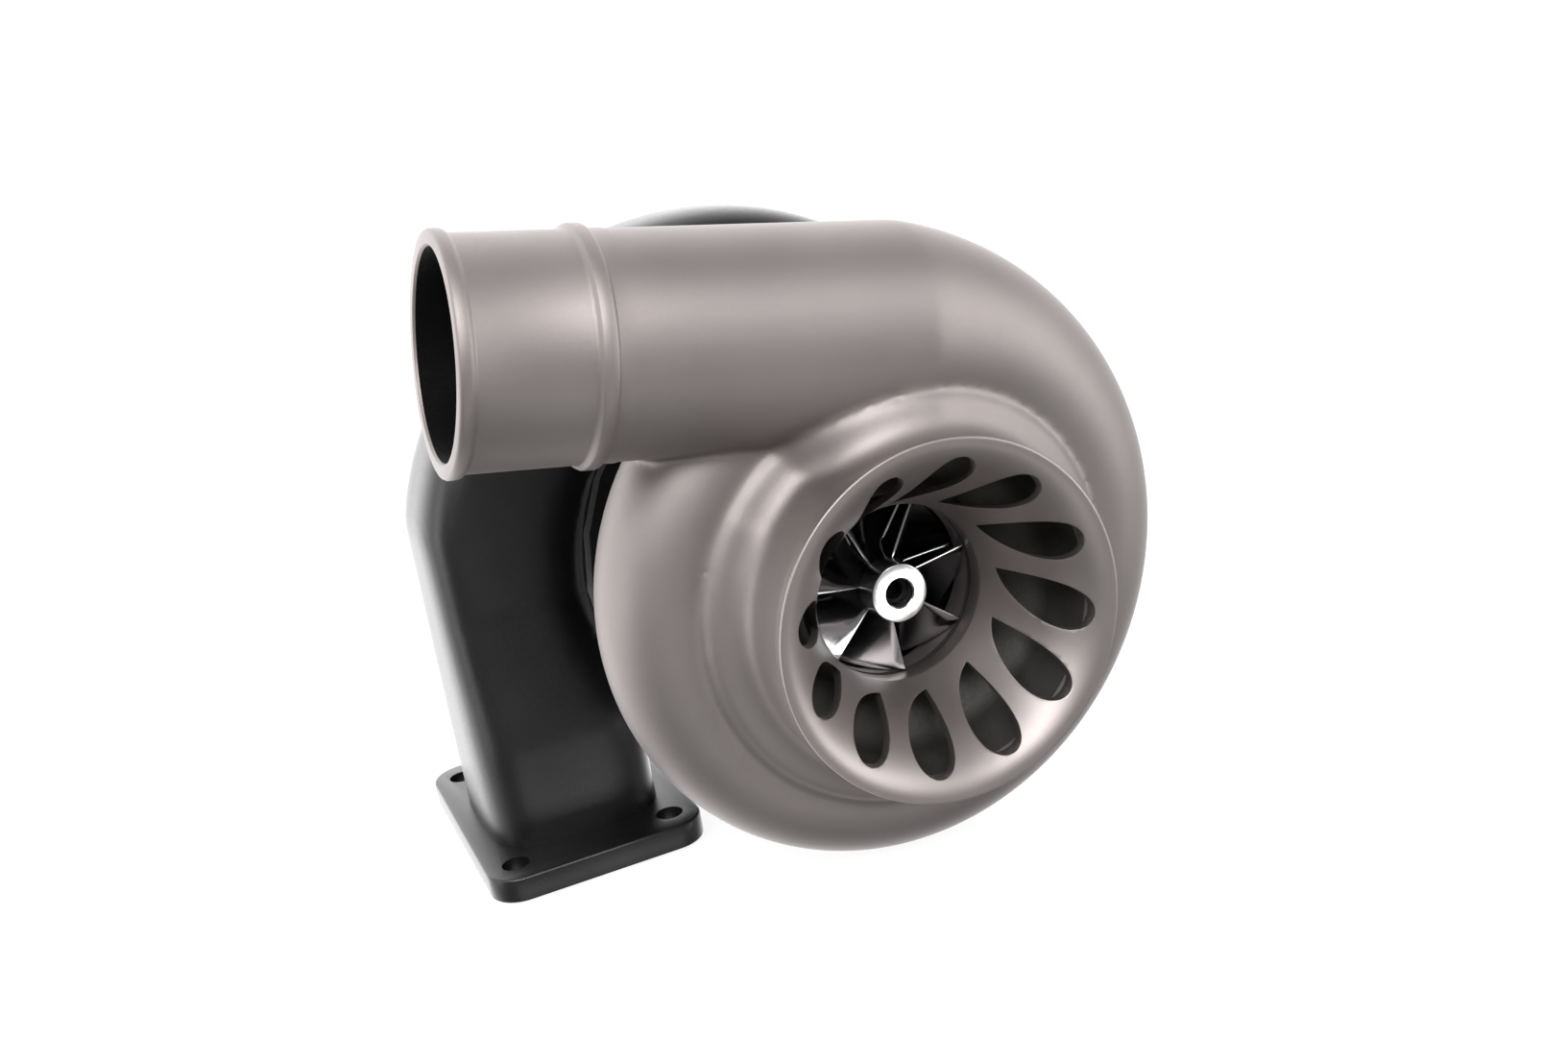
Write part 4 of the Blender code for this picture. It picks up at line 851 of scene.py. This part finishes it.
bpy.ops.object.mode_set(mode="EDIT")
bpy.ops.mesh.select_mode(type="EDGE")
bpy.ops.mesh.select_all(action="DESELECT")
shape = bmesh.from_edit_mesh(foot.data)
for edge_line in shape.edges:
    edge_line.select = abs(edge_line.verts[0].co.z - edge_line.verts[1].co.z) > 0.001
bmesh.update_edit_mesh(foot.data)
bpy.ops.mesh.bevel(offset=FOOT_CORNER_R * MM, segments=12)
bpy.ops.mesh.select_all(action="DESELECT")
shape = bmesh.from_edit_mesh(foot.data)
for edge_line in shape.edges:
    ends = [v.co.z for v in edge_line.verts]
    edge_line.select = min(ends) > 0.009 or max(ends) < 0.001
bmesh.update_edit_mesh(foot.data)
bpy.ops.mesh.bevel(offset=FOOT_EDGE * MM, segments=3)
done(foot)
for x in (-STUD_X, STUD_X):
    for y in (-STUD_Y, STUD_Y):
        bpy.ops.mesh.primitive_cylinder_add(
            vertices=64, radius=STUD_HOLE_R * MM, depth=STUD_TOOL_DEEP, location=(x * MM, y * MM, 0)
        )
        hole = fresh("stud_hole")
        only(hole)
        fix_place()
        boolean(foot, hole)
for y in (-PORT_Y, PORT_Y):
    bpy.ops.mesh.primitive_cube_add(size=1, location=(0, y * MM, 0))
    port = fresh("port")
    port.dimensions = (PORT_WIDE * MM, PORT_LONG * MM, PORT_TOOL_DEEP)
    only(port)
    fix_place()
    boolean(foot, port)
boolean(turbine_housing, foot, "UNION")
turbine_housing.name = "turbine_housing_casting"
settle(turbine_housing, "casing", IRON, ["turbine_housing"], angle=40)

# ---------------------------------------------------------------- the pieces carried over
# Clamp band, backplate, bolts, bearing housing, bushings, seals, turbine wheel, heat shield and
# oil fittings keep their CAD shape. Each takes the finish of its own metal, fibre or rubber.

NICKEL_ALLOY = finish(
    "nickel_alloy",
    light=(0.4, 0.36, 0.32),
    dark=(0.26, 0.24, 0.25),
    rough=(0.34, 0.5),
    metallic=1.0,
    grain=1200,
    depth=0.3,
)
BRONZE = finish(
    "bearing_bronze",
    light=(0.62, 0.42, 0.2),
    dark=(0.52, 0.34, 0.16),
    rough=(0.28, 0.4),
    metallic=1.0,
    grain=1500,
    depth=0.08,
)
RUBBER = finish(
    "seal_rubber",
    light=(0.03, 0.03, 0.03),
    dark=(0.02, 0.02, 0.02),
    rough=(0.6, 0.75),
    metallic=0.0,
    grain=900,
    depth=0.1,
)
FIBRE = finish(
    "gasket_fibre",
    light=(0.16, 0.14, 0.12),
    dark=(0.1, 0.09, 0.08),
    rough=(0.7, 0.85),
    metallic=0.0,
    grain=1100,
    depth=0.4,
)
SHEET = finish(
    "sheet_steel",
    light=(0.46, 0.44, 0.42),
    dark=(0.34, 0.31, 0.3),
    rough=(0.3, 0.45),
    metallic=1.0,
    grain=700,
    depth=0.1,
)
CARRIED = {
    "cast_aluminium": CAST_ALUMINIUM,
    "bell_aluminium": MACHINED,
    "cast_iron": IRON,
    "bright_steel": PLATED,
    "steel": GROUND,
    "nickel_alloy": NICKEL_ALLOY,
    "bronze": BRONZE,
    "seal_rubber": RUBBER,
    "gasket": FIBRE,
    "sheet_steel": SHEET,
}
for name, node in frame["nodes"].items():
    if node.hide_render:
        continue
    node.data.materials.clear()
    node.data.materials.append(CARRIED[slots_of_nodes[name]])

# ---------------------------------------------------------------- studio
# A plain pale floor, soft light from large panels, and the camera in front of the inlet.


def pale(name, glow, tone):
    """A plain pale stage finish that carries part of its own light."""
    made = bpy.data.materials.new(name)
    made.use_nodes = True
    shader = made.node_tree.nodes["Principled BSDF"]
    shader.inputs["Base Color"].default_value = (tone, tone, tone, 1)
    shader.inputs["Roughness"].default_value = 0.9
    shader.inputs["Specular IOR Level"].default_value = 0.0
    shader.inputs["Emission Color"].default_value = (1, 1, 1, 1)
    shader.inputs["Emission Strength"].default_value = glow
    return made


def backdrop_only(obj):
    """Keeps a stage piece out of the gloss and bounce light on the turbocharger."""
    obj.visible_glossy = False
    obj.visible_diffuse = False


bpy.ops.mesh.primitive_circle_add(
    vertices=128, radius=5.9, fill_type="NGON", location=(SHAFT_X, 0, cad_low.z - 0.0005)
)
floor = fresh("studio_floor")
floor.data.materials.append(pale("pale_floor", 0.9, 0.2))
floor.visible_shadow = False
backdrop_only(floor)
bpy.ops.mesh.primitive_uv_sphere_add(segments=64, ring_count=32, radius=6)
dome = fresh("studio_dome")
dome.data.materials.append(pale("pale_dome", 1.0, 0.0))
dome.visible_shadow = False
backdrop_only(dome)

world = bpy.data.worlds.new("studio")
world.use_nodes = True
bpy.context.scene.world = world
sky = world.node_tree
direction = sky.nodes.new("ShaderNodeTexCoord")
parts = sky.nodes.new("ShaderNodeSeparateXYZ")
ramp = sky.nodes.new("ShaderNodeValToRGB")
ramp.color_ramp.elements[0].position = 0.5
ramp.color_ramp.elements[0].color = (0.3, 0.3, 0.3, 1)
ramp.color_ramp.elements[1].position = 0.9
ramp.color_ramp.elements[1].color = (2.8, 2.8, 2.8, 1)
half = sky.nodes.new("ShaderNodeMapRange")
half.inputs["From Min"].default_value = -1
sky.links.new(direction.outputs["Generated"], parts.inputs["Vector"])
sky.links.new(parts.outputs["Y"], half.inputs["Value"])
sky.links.new(half.outputs["Result"], ramp.inputs["Fac"])
sky.links.new(ramp.outputs["Color"], sky.nodes["Background"].inputs["Color"])
sky.nodes["Background"].inputs["Strength"].default_value = 1.0


def panel(name, spot, aim, wide, tall, watts):
    """A rectangular soft light at a spot, turned to its aim."""
    data = bpy.data.lights.new(name, "AREA")
    data.shape = "RECTANGLE"
    data.size = wide
    data.size_y = tall
    data.energy = watts
    lamp = bpy.data.objects.new(name, data)
    bpy.context.scene.collection.objects.link(lamp)
    lamp.location = spot
    lamp.rotation_euler = (Vector(aim) - Vector(spot)).to_track_quat("-Z", "Y").to_euler()


middle = (cad_low + cad_high) / 2
panel("key_panel", (-0.45, -1.36, 1.36), middle, wide=2.2, tall=0.7, watts=42)
panel("left_panel", (-1.7, -0.1, 0.3), middle, wide=0.7, tall=1.6, watts=8)
panel("right_panel", (1.6, -1.0, 0.4), middle, wide=0.9, tall=1.6, watts=18)
panel("low_panel", (0.0, -1.3, -0.75), middle, wide=1.4, tall=0.5, watts=2.5)
panel("nut_panel", (0.58, -1.22, -0.3), middle, wide=0.8, tall=0.5, watts=9)
nut_light = bpy.data.collections.new("lit_by_nut_panel")
nut_light.objects.link(nut)
bpy.data.objects["nut_panel"].light_linking.receiver_collection = nut_light

lens = bpy.data.cameras.new("studio_camera")
lens.sensor_width = 36
lens.lens = 38.707
lens.clip_start = 0.01
camera = bpy.data.objects.new("studio_camera", lens)
bpy.context.scene.collection.objects.link(camera)
camera.location = (-0.11783, -0.65476, 0.30272)
camera.rotation_euler = (math.radians(73.616), math.radians(9.3147), math.radians(-22.655))
bpy.context.scene.camera = camera
bpy.context.scene.view_settings.view_transform = "Standard"

bpy.context.view_layer.update()
